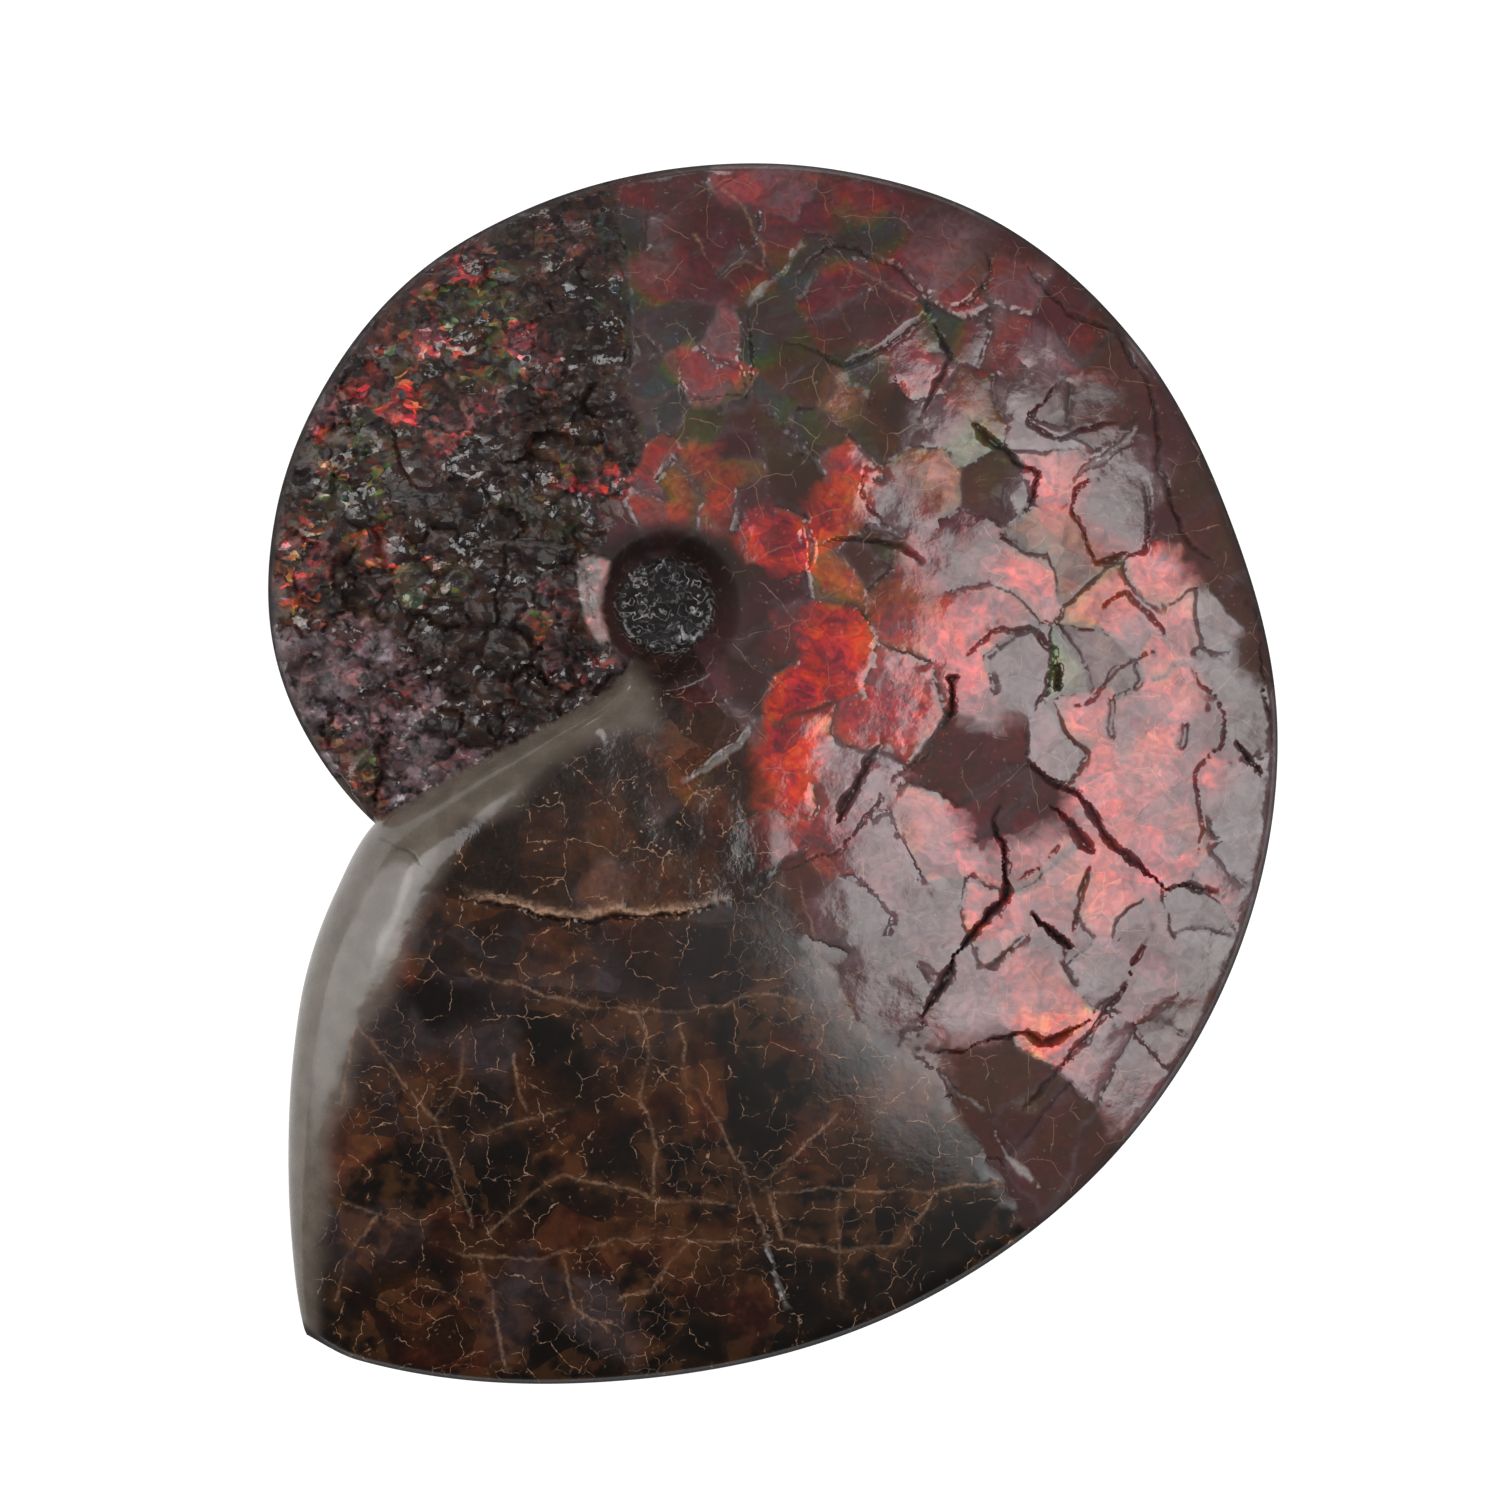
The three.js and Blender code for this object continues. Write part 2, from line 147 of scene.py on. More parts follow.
SEAMS: dict[str, Seam] = {
    # The chamber ledge is cut as a groove; its dark line is painted shadow under the step
    "chamber_ledge": Seam(
        ((447, 885), (480, 902), (530, 913), (590, 918), (650, 918), (705, 912), (745, 893)),
        width=1.8, depth=0.9, lip=0.5, dark=0.9, tan=1.0,
    ),
    "ledge_rise": Seam(
        ((745, 893), (785, 873), (830, 852), (870, 815), (893, 780), (929, 756), (947, 711)),
        width=1.2, depth=0.7, dark=0.5, pale=0.15,
    ),
    "stone_fold": Seam(((372, 830), (400, 848), (434, 870)), width=1.0, depth=0.15, dark=0.45),
    "coral_edge": Seam(
        ((1183, 886), (1196, 869), (1203, 827), (1192, 777), (1220, 749), (1224, 714),
         (1192, 665), (1175, 651)),
        width=1.3, depth=0.5, dark=0.2,
    ),
    "coral_inner": Seam(
        ((1091, 862), (1079, 890), (1073, 915), (1075, 942)), width=1.3, depth=0.5, dark=0.4,
    ),
    "coral_thin": Seam(((1010, 888), (1040, 868), (1060, 835)), width=0.9, depth=0.4, dark=0.2),
    "grey_plate_top": Seam(
        ((952, 676), (970, 650), (992, 632), (1031, 627), (1052, 651), (1048, 690), (1023, 730)),
        width=1.2, depth=0.6, lip=0.2, dark=0.4,
    ),
    "orange_edge": Seam(
        ((1092, 632), (1105, 600), (1126, 592), (1150, 613), (1171, 644)), width=1.2, depth=0.6,
        lip=0.2, dark=0.4,
    ),
    "slate_thin": Seam(
        ((1171, 644), (1140, 655), (1085, 700), (1052, 708)), width=1.0, depth=0.4, dark=0.2,
    ),
    "big_maroon_edge": Seam(
        ((761, 311), (782, 283), (821, 251), (856, 248), (894, 265), (926, 297), (929, 314),
         (898, 335), (870, 356), (845, 367), (810, 353), (775, 342), (761, 311)),
        width=2.0, depth=0.7, lip=0.2, dark=0.45,
    ),
    "red_plate_edge": Seam(
        ((675, 339), (685, 393), (720, 397), (752, 396), (742, 370), (700, 352), (675, 339)),
        width=1.3, depth=0.5, dark=0.4,
    ),
    "rim_band": Seam(
        ((985, 230), (1038, 279), (1066, 314), (1119, 335), (1147, 377), (1154, 426),
         (1161, 476), (1175, 511), (1192, 546), (1231, 581), (1250, 602)),
        width=2.0, depth=0.7, lip=0.3, dark=0.6,
    ),
    "rim_gap": Seam(
        ((985, 248), (992, 276), (975, 300), (945, 310)), width=1.8, depth=0.7, dark=0.6,
    ),
    "wine_slate_edge": Seam(
        ((1126, 455), (1143, 476), (1150, 511), (1147, 553), (1098, 560), (1073, 514),
         (1077, 493), (1126, 455)),
        width=1.7, depth=0.7, lip=0.2, dark=0.45,
    ),
    "brown_plate_edge": Seam(
        ((1077, 360), (1045, 400), (1028, 422), (1060, 440), (1100, 425), (1138, 418)),
        width=1.3, depth=0.6, dark=0.5,
    ),
    "pits": Seam(
        ((961, 412), (971, 430), (992, 441), (1014, 465), (1038, 476), (1034, 500), (1020, 522)),
        width=2.2, depth=1.1, dark=0.85,
    ),
    "slate_bottom": Seam(
        ((814, 546), (850, 538), (905, 545), (930, 570)), width=1.5, depth=0.8, dark=0.7,
    ),
    "slate_left": Seam(
        ((870, 455), (866, 490), (880, 520), (908, 530)), width=1.3, depth=0.6, dark=0.45,
    ),
    "olive_line": Seam(
        ((762, 405), (790, 428), (812, 460), (828, 480)), width=1.2, depth=0.5, dark=0.5, pale=0.2,
    ),
    "right_arc": Seam(
        ((1023, 730), (1029, 758), (1042, 775), (1059, 787), (1084, 806), (1107, 836),
         (1143, 874), (1166, 890), (1183, 886), (1238, 901)),
        width=2.2, depth=1.6, lip=0.3, dark=0.75,
    ),
    "deep_bend": Seam(
        ((1003, 790), (998, 819), (1006, 853), (1002, 899), (987, 918), (953, 953),
         (930, 1005), (909, 1052)),
        width=2.4, depth=1.9, lip=0.35, dark=0.95,
    ),
    "black_slit": Seam(((1026, 906), (1052, 930), (1078, 956)), width=1.7, depth=2.0, dark=1.0),
    "dark_lens": Seam(((834, 830), (858, 785), (882, 742)), width=3.4, depth=2.0, dark=0.75),
    "red_lens": Seam(((1048, 798), (1072, 826), (1095, 861)), width=2.6, depth=1.4, dark=0.7),
    "chipped_edge": Seam(
        ((914, 1046), (968, 1052), (1025, 1029), (1044, 1044), (1113, 1002)),
        width=1.8, depth=1.3, lip=0.4, dark=0.8,
    ),
    "lower_band": Seam(
        ((1155, 920), (1120, 1000), (1050, 1080), (1005, 1130)), width=1.8, depth=0.9, dark=0.6,
    ),
    "white_vein": Seam(
        ((985, 1122), (1010, 1160), (1044, 1190)), width=2.2, depth=0.6, dark=0.2, pale=0.9,
    ),
    "below_plate": Seam(
        ((907, 1056), (940, 1070), (985, 1122)), width=1.5, depth=0.8, dark=0.5, pale=0.5,
    ),
    "top_vein": Seam(
        ((799, 246), (785, 262), (769, 284), (746, 307)), width=2.2, depth=0.7, dark=0.3, pale=0.55,
    ),
    "plates_top": Seam(
        ((746, 307), (752, 335), (755, 395)), width=1.5, depth=0.7, dark=0.5,
    ),
    "crushed_fault": Seam(
        ((615, 185), (622, 255), (625, 308), (630, 360), (618, 395)),
        width=2.4, depth=0.9, lip=0.4, dark=0.75, pale=0.12,
    ),
    "crevice": Seam(((965, 672), (950, 680), (948, 730)), width=1.8, depth=1.6, dark=1.0),
    "dark_streak": Seam(((1051, 663), (1058, 675), (1060, 690)), width=2.4, depth=1.6, dark=0.9),
    "rim_spindle": Seam(((1231, 733), (1250, 758), (1267, 781)), width=1.4, depth=1.0, dark=1.0),
    "upper_plates": Seam(
        ((926, 311), (940, 335), (952, 352), (925, 400), (915, 425)), width=1.8, depth=1.1,
        dark=0.7,
    ),
    "shoulder_plates": Seam(
        ((1138, 418), (1125, 437), (1083, 471), (1067, 491)), width=1.6, depth=0.9, lip=0.3,
        dark=0.3, pale=0.8,
    ),
    "red_chip_edge": Seam(
        ((803, 520), (812, 545), (798, 575), (770, 590)), width=1.6, depth=1.0, dark=0.7, pale=0.3,
    ),
    "inner_streak": Seam(
        ((684, 778), (705, 766), (735, 745), (757, 717)), width=2.0, depth=0.5, lip=0.5, dark=0.2,
        pale=0.6,
    ),
    # Painted glint: a pale mark with no cut
    "sparkle": Seam(((594, 724), (604, 744)), width=2.4, depth=0.0, dark=0.0, pale=0.8),
    "left_crest": Seam(
        ((330, 435), (352, 432), (380, 440)), width=2.2, depth=0.5, lip=0.9, dark=0.4, pale=0.5,
    ),
    "inner_crest": Seam(
        ((480, 545), (500, 540), (545, 546), (590, 550)), width=1.6, depth=0.5, lip=0.9, dark=0.5,
        pale=0.35,
    ),
    "crescent": Seam(
        ((588, 560), (584, 580), (586, 605), (597, 632)), width=2.6, depth=0.0, lip=0.9, dark=0.0,
    ),
    "rim_layers": Seam(
        ((1254, 600), (1264, 660), (1268, 700), (1274, 745)), width=0.9, depth=0.7, dark=1.0,
    ),
    "chamber_gash": Seam(
        ((763, 1236), (775, 1270), (790, 1307)), width=2.2, depth=0.4, dark=0.1, pale=0.3,
    ),
}

# Veins that the polish has left flush: they change colour only
VEINS: tuple[tuple[Pixel, ...], ...] = (
    ((720, 190), (752, 218), (763, 245), (765, 270)),
    ((698, 237), (717, 268), (742, 290)),
    ((717, 268), (745, 262), (762, 268)),
    ((822, 256), (850, 268), (880, 282), (915, 300)),
    ((850, 268), (838, 300), (850, 330)),
    ((800, 880), (808, 915), (828, 970), (848, 995)),
    ((464, 972), (536, 990), (589, 1008), (674, 1012), (763, 995), (800, 1002)),
    ((326, 1195), (415, 1231), (460, 1253), (527, 1258), (652, 1235), (737, 1242)),
    ((411, 1093), (433, 1120), (451, 1164), (473, 1227)),
    ((460, 1044), (460, 1079), (433, 1120)),
    ((513, 1053), (518, 1093), (527, 1111)),
    ((469, 1140), (518, 1122), (562, 1111)),
    ((491, 1231), (536, 1195), (562, 1173), (616, 1187), (652, 1200), (735, 1205)),
    ((679, 1017), (687, 1079), (723, 1129), (745, 1169), (750, 1195), (763, 1236)),
    ((763, 1187), (799, 1151), (844, 1106)),
    ((765, 1194), (853, 1188), (930, 1194), (1000, 1180)),
    ((339, 1102), (357, 1021), (406, 1088)),
    ((770, 1190), (781, 1240), (838, 1250), (842, 1300)),
    ((838, 1192), (838, 1250), (900, 1245), (930, 1200)),
    ((690, 1240), (652, 1290), (620, 1300)),
    ((560, 1258), (575, 1310), (610, 1330)),
    ((480, 1258), (497, 1320), (505, 1370)),
    ((380, 1215), (345, 1260), (335, 1300)),
    ((640, 1012), (650, 1060), (640, 1100), (655, 1150), (652, 1200)),
    ((815, 950), (835, 985), (850, 1000), (880, 1060)),
)

# Plates and patches of shell, by colour
PLATES: dict[Tone, tuple[Pixel, ...]] = {
    Tone.DUSK: (
        (962, 745), (997, 742), (985, 772), (1000, 795), (1024, 812), (1070, 305), (1090, 330),
    ),
    Tone.MAROON: (
        (926, 237), (852, 320), (695, 230), (740, 230), (1091, 398), (700, 280), (740, 275),
        (660, 190), (905, 205), (618, 511), (610, 440), (745, 500), (1050, 395), (720, 255),
        (880, 320), (900, 270),
    ),
    Tone.WINE: (
        (863, 206), (908, 345), (964, 553), (982, 340), (982, 712), (785, 240), (818, 220),
        (647, 278), (1210, 728), (1154, 974), (551, 575), (786, 630), (700, 690), (560, 640),
        (375, 330), (1065, 930), (1180, 1040), (1135, 1080), (1140, 940), (835, 285),
    ),
    Tone.ROSE: (
        (690, 362), (735, 383), (755, 190), (785, 192), (957, 300), (701, 385), (1000, 345),
        (1045, 470), (1017, 283), (845, 790), (720, 340), (930, 255),
    ),
    Tone.RED: (
        (842, 458), (733, 498), (856, 735), (968, 690), (321, 390), (655, 455), (835, 840),
        (640, 500), (1045, 484), (330, 560), (420, 335), (500, 405), (440, 425), (540, 350),
        (400, 290), (782, 835), (465, 255),
    ),
    Tone.BRIGHT: (
        (842, 507), (828, 676), (793, 756), (772, 540), (800, 700), (1059, 1026), (398, 396),
        (825, 640), (786, 800), (612, 472), (845, 655), (810, 730),
    ),
    Tone.PINK: (
        (1049, 356), (647, 485), (1056, 735), (1091, 1058), (1129, 626), (345, 670), (880, 860),
        (950, 950), (1140, 1110), (1224, 879), (975, 1012), (1101, 967), (845, 765), (425, 680),
        (400, 640), (385, 765), (355, 725),
    ),
    Tone.LILAC_SHEEN: (
        (328, 640), (360, 642), (332, 680), (310, 705), (345, 705), (290, 640), (410, 762),
        (400, 770), (300, 680), (440, 690), (335, 770), (430, 745), (380, 645), (402, 735),
    ),
    Tone.CORAL: (
        (929, 377), (919, 563), (1031, 574), (1168, 574), (908, 633), (991, 626), (894, 676),
        (908, 707), (1154, 718), (1112, 788), (1175, 840), (936, 833), (1031, 861), (1056, 896),
        (1101, 914), (992, 935), (1031, 984), (1180, 690), (1195, 780), (1140, 850), (1080, 715),
        (1185, 625), (1165, 650),
    ),
    Tone.ORANGE: (
        (842, 405), (936, 476), (845, 577), (898, 591), (1042, 532), (1070, 560), (423, 316),
        (465, 342), (395, 351), (328, 453), (372, 479), (290, 508), (353, 546), (401, 562),
        (293, 600), (599, 453), (564, 485), (704, 463), (679, 479), (335, 738), (975, 398),
        (522, 622), (1105, 610), (735, 470), (693, 785), (370, 780), (395, 575),
    ),
    Tone.MOSS: (
        (1073, 672), (519, 237), (459, 297), (357, 498), (430, 584), (352, 742),
        (535, 511), (373, 770), (487, 377), (971, 440), (480, 325), (385, 435), (505, 285),
        (375, 490),
    ),
    Tone.OLIVE: (
        (789, 370), (805, 385), (800, 470), (1000, 483), (577, 447), (551, 520), (870, 560),
        (440, 400), (750, 418), (1030, 1110), (820, 440), (790, 450),
    ),
    Tone.GREEN: ((768, 430), (710, 421), (690, 418), (880, 548), (862, 425)),
    Tone.TAN: (
        (586, 498), (964, 262), (1189, 1023), (915, 1079), (1150, 350), (1098, 660), (680, 745),
        (720, 730), (665, 810), (600, 885), (655, 240), (660, 265),
    ),
    Tone.SLATE: (
        (1010, 392), (1119, 504), (936, 419), (891, 514), (1020, 493), (1213, 626), (1006, 679),
        (1231, 714), (1231, 805), (1196, 914), (845, 905), (936, 930), (887, 985),
        (1196, 963), (1013, 665), (1040, 440), (1240, 860), (1150, 480),
        (1215, 670),
    ),
    Tone.BROWN: (
        (1119, 356), (1175, 441), (1185, 504), (1220, 563), (385, 606), (740, 790),
        (650, 780), (600, 800), (560, 850), (985, 1058), (1010, 1080), (620, 340), (560, 300),
        (530, 420), (420, 450), (1055, 1130), (1100, 1150), (1025, 250), (640, 180), (590, 260),
        (600, 620), (480, 690), (1150, 395), (1200, 530), (1110, 325), (1240, 600), (1255, 650),
        (557, 211), (800, 880),
    ),
    Tone.RUST: (
        (545, 1085), (705, 1080), (580, 1140), (500, 915), (690, 1050), (625, 1090), (850, 1130),
        (900, 1160), (660, 1235), (600, 1240), (400, 1290), (450, 1330), (720, 1280), (560, 930),
        (640, 950), (960, 1130), (480, 1250), (700, 860), (620, 840), (570, 860), (650, 880),
    ),
    Tone.EMBER: (
        (385, 975), (357, 1146), (716, 800), (818, 1030), (835, 1045), (560, 235), (465, 1075),
    ),
    Tone.SMOKE: (
        (655, 1030), (470, 1090), (440, 1130), (480, 1060), (360, 1060), (400, 1020), (600, 975),
        (520, 960), (450, 960), (500, 1300), (590, 1310), (380, 1240), (860, 1050), (700, 960),
        (820, 990), (800, 1000), (620, 740), (655, 720), (760, 960), (630, 1040),
    ),
    Tone.ASH: (
        (632, 240), (634, 300), (640, 345), (655, 380), (672, 408), (745, 403), (765, 340),
        (768, 312), (797, 265), (815, 248), (845, 232), (880, 228), (690, 322), (640, 425),
        (770, 405), (870, 365), (945, 330), (800, 440), (660, 330),
    ),
    Tone.BLACK: (
        (600, 1170), (700, 1180), (520, 1170), (640, 1130), (820, 1230), (900, 1240), (760, 1100),
        (800, 1080), (640, 1275), (480, 1200), (380, 1170), (430, 1000), (740, 1040), (560, 1050),
        (900, 1300), (700, 1330), (560, 1350), (830, 1290), (960, 1190), (450, 1280), (350, 1330),
        (590, 770), (560, 790), (625, 770), (640, 820), (500, 860), (740, 850), (680, 830),
        (887, 412), (761, 616), (772, 585), (471, 479), (484, 463), (631, 447), (471, 622),
        (740, 680), (560, 560), (520, 600), (440, 520), (400, 480), (340, 590),
        (450, 660), (520, 660), (480, 560), (590, 330), (575, 360), (640, 420),
        (430, 740), (460, 700), (300, 470), (735, 570), (770, 640), (590, 400),
        (745, 610), (540, 480), (800, 490), (740, 445),
    ),
}

# Borders of the parts that are finished differently
CRUSHED_BORDER: tuple[Pixel, ...] = (
    (378, 900), (640, 740), (655, 668), (620, 655), (598, 620), (596, 575), (612, 520), (640, 470),
    (640, 425), (618, 395), (630, 360), (625, 308), (622, 255), (612, 150), (400, 150), (200, 400),
    (200, 750), (300, 900),
)
STONE_BORDER: tuple[Pixel, ...] = (
    (652, 722), (600, 735), (545, 765), (520, 800), (462, 820), (440, 870), (426, 900), (405, 950),
    (372, 1010), (345, 1080), (335, 1130), (325, 1210), (315, 1300), (312, 1400), (200, 1400),
    (200, 800), (600, 600), (655, 690),
)
CHAMBER_BORDER: tuple[Pixel, ...] = (
    (600, 640), (665, 650), (725, 640), (760, 700), (769, 800), (782, 868), (797, 890), (812, 960),
    (850, 1015), (905, 1055), (960, 1080), (990, 1130), (1040, 1195), (1100, 1300), (700, 1500),
    (200, 1450), (200, 800),
)
CRESCENT_BORDER: tuple[Pixel, ...] = (
    (577, 562), (594, 556), (611, 562), (604, 585), (601, 608), (610, 638), (601, 645), (589, 626),
    (579, 596),
)
LEDGE_BORDER: tuple[Pixel, ...] = (
    (600, 640), (665, 650), (735, 640), (765, 700), (760, 800), (775, 868), (745, 893), (705, 912),
    (650, 918), (590, 918), (530, 913), (480, 902), (447, 885), (400, 800),
)


def soft_step(low: float, high: float, values: np.ndarray) -> np.ndarray:
    """A smooth rise from 0 at low to 1 at high."""
    share = np.clip((values - low) / (high - low), 0, 1)
    return share * share * (3 - 2 * share)


def through(values: tuple[float, ...], start: float, step: float, at: np.ndarray) -> np.ndarray:
    """A smooth curve through equally spaced values.

    Args:
        values: What the curve goes through.
        start: Place of the first value.
        step: Distance from one value to the next.
        at: Places to read the curve at.

    Returns:
        The curve's value at each place.
    """
    table = np.array(values)
    last = len(table) - 1
    place = np.clip((np.asarray(at, float) - start) / step, 0, last)
    index = np.minimum(np.floor(place).astype(int), last - 1)
    part = place - index
    a, b, c, d = (table[np.clip(index + k, 0, last)] for k in (-1, 0, 1, 2))
    bend = 2 * a - 5 * b + 4 * c - d
    return b + 0.5 * part * (c - a + part * (bend + part * (3 * (b - c) + d - a)))


def length(vectors: np.ndarray) -> np.ndarray:
    """Length of each vector."""
    return np.hypot(vectors[:, 0], vectors[:, 1])


def hashed(column: np.ndarray, row: np.ndarray, seed: int) -> np.ndarray:
    """The same number from 0 to 1 on every run, for each cell of a grid."""
    mask = np.uint64(0xFFFFFFFF)
    mixed = column.astype(np.int64).astype(np.uint64) * np.uint64(374761393)
    mixed = mixed + row.astype(np.int64).astype(np.uint64) * np.uint64(668265263)
    mixed = (mixed + np.uint64(seed) * np.uint64(974634777)) & mask
    mixed = ((mixed ^ (mixed >> np.uint64(13))) * np.uint64(1274126177)) & mask
    mixed = ((mixed ^ (mixed >> np.uint64(15))) * np.uint64(2246822519)) & mask
    return ((mixed ^ (mixed >> np.uint64(16))) & mask).astype(float) / 2.0**32


def noise(points: np.ndarray, size: float, seed: int) -> np.ndarray:
    """Smooth noise from -1 to 1 with lumps of about that size."""
    scaled = points / size
    corner = np.floor(scaled).astype(np.int64)
    part = scaled - corner
    part = part * part * (3 - 2 * part)
    value = np.zeros(len(points))
    for right in (0, 1):
        for up in (0, 1):
            weight = np.abs(1 - right - part[:, 0]) * np.abs(1 - up - part[:, 1])
            value += weight * hashed(corner[:, 0] + right, corner[:, 1] + up, seed)
    return 2 * value - 1


def rough(points: np.ndarray, size: float, seed: int, layers: int = 3) -> np.ndarray:
    """Noise with finer noise on it, each layer half as large and half as strong."""
    total = np.zeros(len(points))
    for layer in range(layers):
        total += noise(points, size / 2**layer, seed + layer) / 2**layer
    return total


def wandering(points: np.ndarray, size: float, reach: float, seed: int) -> np.ndarray:
    """The points, each moved a little, so that straight borders turn ragged."""
    shift = [rough(points, size, seed + 10 * axis) * reach for axis in (1, 2)]
    return points + np.stack(shift, axis=1)


def distance_to(points: np.ndarray, path: np.ndarray) -> tuple[np.ndarray, np.ndarray, np.ndarray]:
    """How far points lie from a path.

    Args:
        points: Places on the sheet.
        path: Corners of the path.

    Returns:
        The distance, 1 left of the path and -1 right of it, and the share of the path passed.
    """
    near = np.full(len(points), np.inf)
    side = np.ones(len(points))
    passed = np.zeros(len(points))
    lengths = length(np.diff(path, axis=0))
    for index, (start, end) in enumerate(zip(path[:-1], path[1:])):
        along = end - start
        share = np.clip(((points - start) @ along) / (along @ along), 0, 1)
        gap = points - (start + share[:, None] * along)
        distance = length(gap)
        closer = distance < near
        near = np.where(closer, distance, near)
        turn = along[0] * gap[:, 1] - along[1] * gap[:, 0]
        side = np.where(closer, np.where(turn >= 0, 1.0, -1.0), side)
        here = (lengths[:index].sum() + share * lengths[index]) / lengths.sum()
        passed = np.where(closer, here, passed)
    return near, side, passed


def inside(points: np.ndarray, border: np.ndarray) -> np.ndarray:
    """True for each point that lies inside a closed border."""
    within = np.zeros(len(points), bool)
    x, y = points[:, 0], points[:, 1]
    for (ax, ay), (bx, by) in zip(border, np.roll(border, -1, axis=0)):
        crosses = (ay > y) != (by > y)
        reach = (bx - ax) * (y - ay) / np.where(by == ay, 1e-9, by - ay) + ax
        within ^= crosses & (x < reach)
    return within


def zone(points: np.ndarray, border: np.ndarray, blend: float) -> np.ndarray:
    """1 inside a closed border and 0 outside it, with a soft edge of that width."""
    closed = np.vstack([border, border[:1]])
    distance = distance_to(points, closed)[0]
    signed = np.where(inside(points, border), distance, -distance)
    return soft_step(-blend / 2, blend / 2, signed)


@dataclass(frozen=True)
class Coil:
    """The rule of the whorls. Its sizes are millimetres and degrees."""

    half_thickness: float = 22.0
    thinning: float = 0.62
    ground: float = 17.6
    thinnest: float = 0.03
    venter_half: float = 4.0
    rim_round: float = 2.0
    shoulder: float = 17.4
    crest: float = 0.22
    shoulder_drop: float = 0.12
    flank_power: float = 1.9
    rim_start: float = 208.0
    rim_step: float = 20.0
    rim_radius: tuple[float, ...] = (
        177.9, 173.2, 168.2, 160.0, 153.9, 146.9, 138.3, 128.5, 117.2, 110.3, 103.5,
        95.1, 88.7, 85.2, 84.0, 82.5, 81.8, 80.8, 77.2, 73.0, 70.1, 67.6,
    )
    mouth_start: float = 15.0
    mouth_step: float = 15.0
    mouth_angle: tuple[float, ...] = (
        240, 226, 220, 217.8, 217.6, 221.5, 225.8, 230.6, 235.1, 239.2, 243.1, 247.4,
    )
    mouth_round: tuple[float, ...] = (4, 9, 13, 17, 20, 22, 22, 21, 19, 16, 12, 12)
    tip_angle: float = 244.0
    tip_drop: float = 1.8
    tip_bend: tuple[float, float] = (-1.0, 4.0)
    notch_angle: float = 577.6
    pit_centre: tuple[float, float] = (0.2, -1.4)
    pit_reach: float = 20.5
    pit_top: float = 21.0
    pit_leave: float = 20.0
    pit_blend: float = 1.6
    pit_wall: tuple[tuple[float, float], ...] = (
        (0.0, 5.0), (7.0, 5.0), (9.8, 5.6), (11.2, 8.0), (12.6, 11.6), (15.6, 16.6), (20.5, 21.0),
    )

    def rim(self, angle: np.ndarray) -> np.ndarray:
        """Radius of the rim at each angle along the whorl."""
        low, high = (self.tip_angle + bend for bend in self.tip_bend)
        smooth = through(self.rim_radius, self.rim_start, self.rim_step, angle)
        return smooth - self.tip_drop * (1 - soft_step(low, high, angle))

    def mouth(self, radius: np.ndarray) -> np.ndarray:
        """Angle of the aperture's edge at each radius."""
        return through(self.mouth_angle, self.mouth_start, self.mouth_step, radius)

    def along(self, points: np.ndarray) -> np.ndarray:
        """Angle along the newest whorl at each point."""
        radius = length(points)
        mouth = self.mouth(radius)
        polar = np.degrees(np.arctan2(points[:, 1], points[:, 0]))
        past = np.mod(polar - mouth, 360)
        on_edge = (past > 350) & (radius > self.notch_radius)
        return mouth + np.where(on_edge, 0, past)

    @property
    def notch_radius(self) -> float:
        """Radius where the aperture's edge leaves the older whorl's rim."""
        return float(self.rim(np.array([self.notch_angle]))[0])

    def mouth_share(self, points: np.ndarray, angle: np.ndarray) -> np.ndarray:
        """Distance from the aperture's edge as a share of its rounding, up to 1."""
        radius = length(points)
        slant = radius * np.radians(self.mouth(radius + 1) - self.mouth(radius - 1)) / 2
        behind = np.maximum(np.radians(angle - self.mouth(radius)), 0) * radius
        width = through(self.mouth_round, self.mouth_start, self.mouth_step, radius)
        return np.clip(behind / np.hypot(1, slant) / width, 0, 1)

    def whorl(self, radius: np.ndarray, angle: np.ndarray) -> np.ndarray:
        """Height of a whorl's flank over the middle plane."""
        rim = self.rim(angle)
        crest = self.half_thickness * self.thinning ** ((angle - self.tip_angle) / 360)
        share = np.clip((radius - self.shoulder) / (rim - self.shoulder), 0, 1)
        inward = self.shoulder_drop * (np.maximum(self.crest - share, 0) / self.crest) ** 2
        outward = np.maximum(share - self.crest, 0) / (1 - self.crest)
        fall = inward + (1 - self.venter_half / crest) * outward**self.flank_power
        edge = 1 - np.clip((rim - radius) / self.rim_round, 0, 1)
        return crest * (1 - fall) * np.sqrt(1 - edge * edge)

    def flanks(self, points: np.ndarray) -> tuple[np.ndarray, np.ndarray]:
        """Heights of the newest whorl and of the older one under it."""
        radius = length(points)
        angle = self.along(points)
        edge = 1 - self.mouth_share(points, angle)
        newest = self.whorl(radius, angle) * np.sqrt(1 - edge * edge)
        return newest, self.whorl(radius, angle + 360)

    def height(self, points: np.ndarray) -> np.ndarray:
        """Height of the smooth face over the middle plane, without the umbilicus."""
        return np.maximum(*self.flanks(points))

    def under_wins(self, points: np.ndarray) -> np.ndarray:
        """True where the older whorl shows in front of the aperture's edge."""
        newest, older = self.flanks(points)
        return older > newest

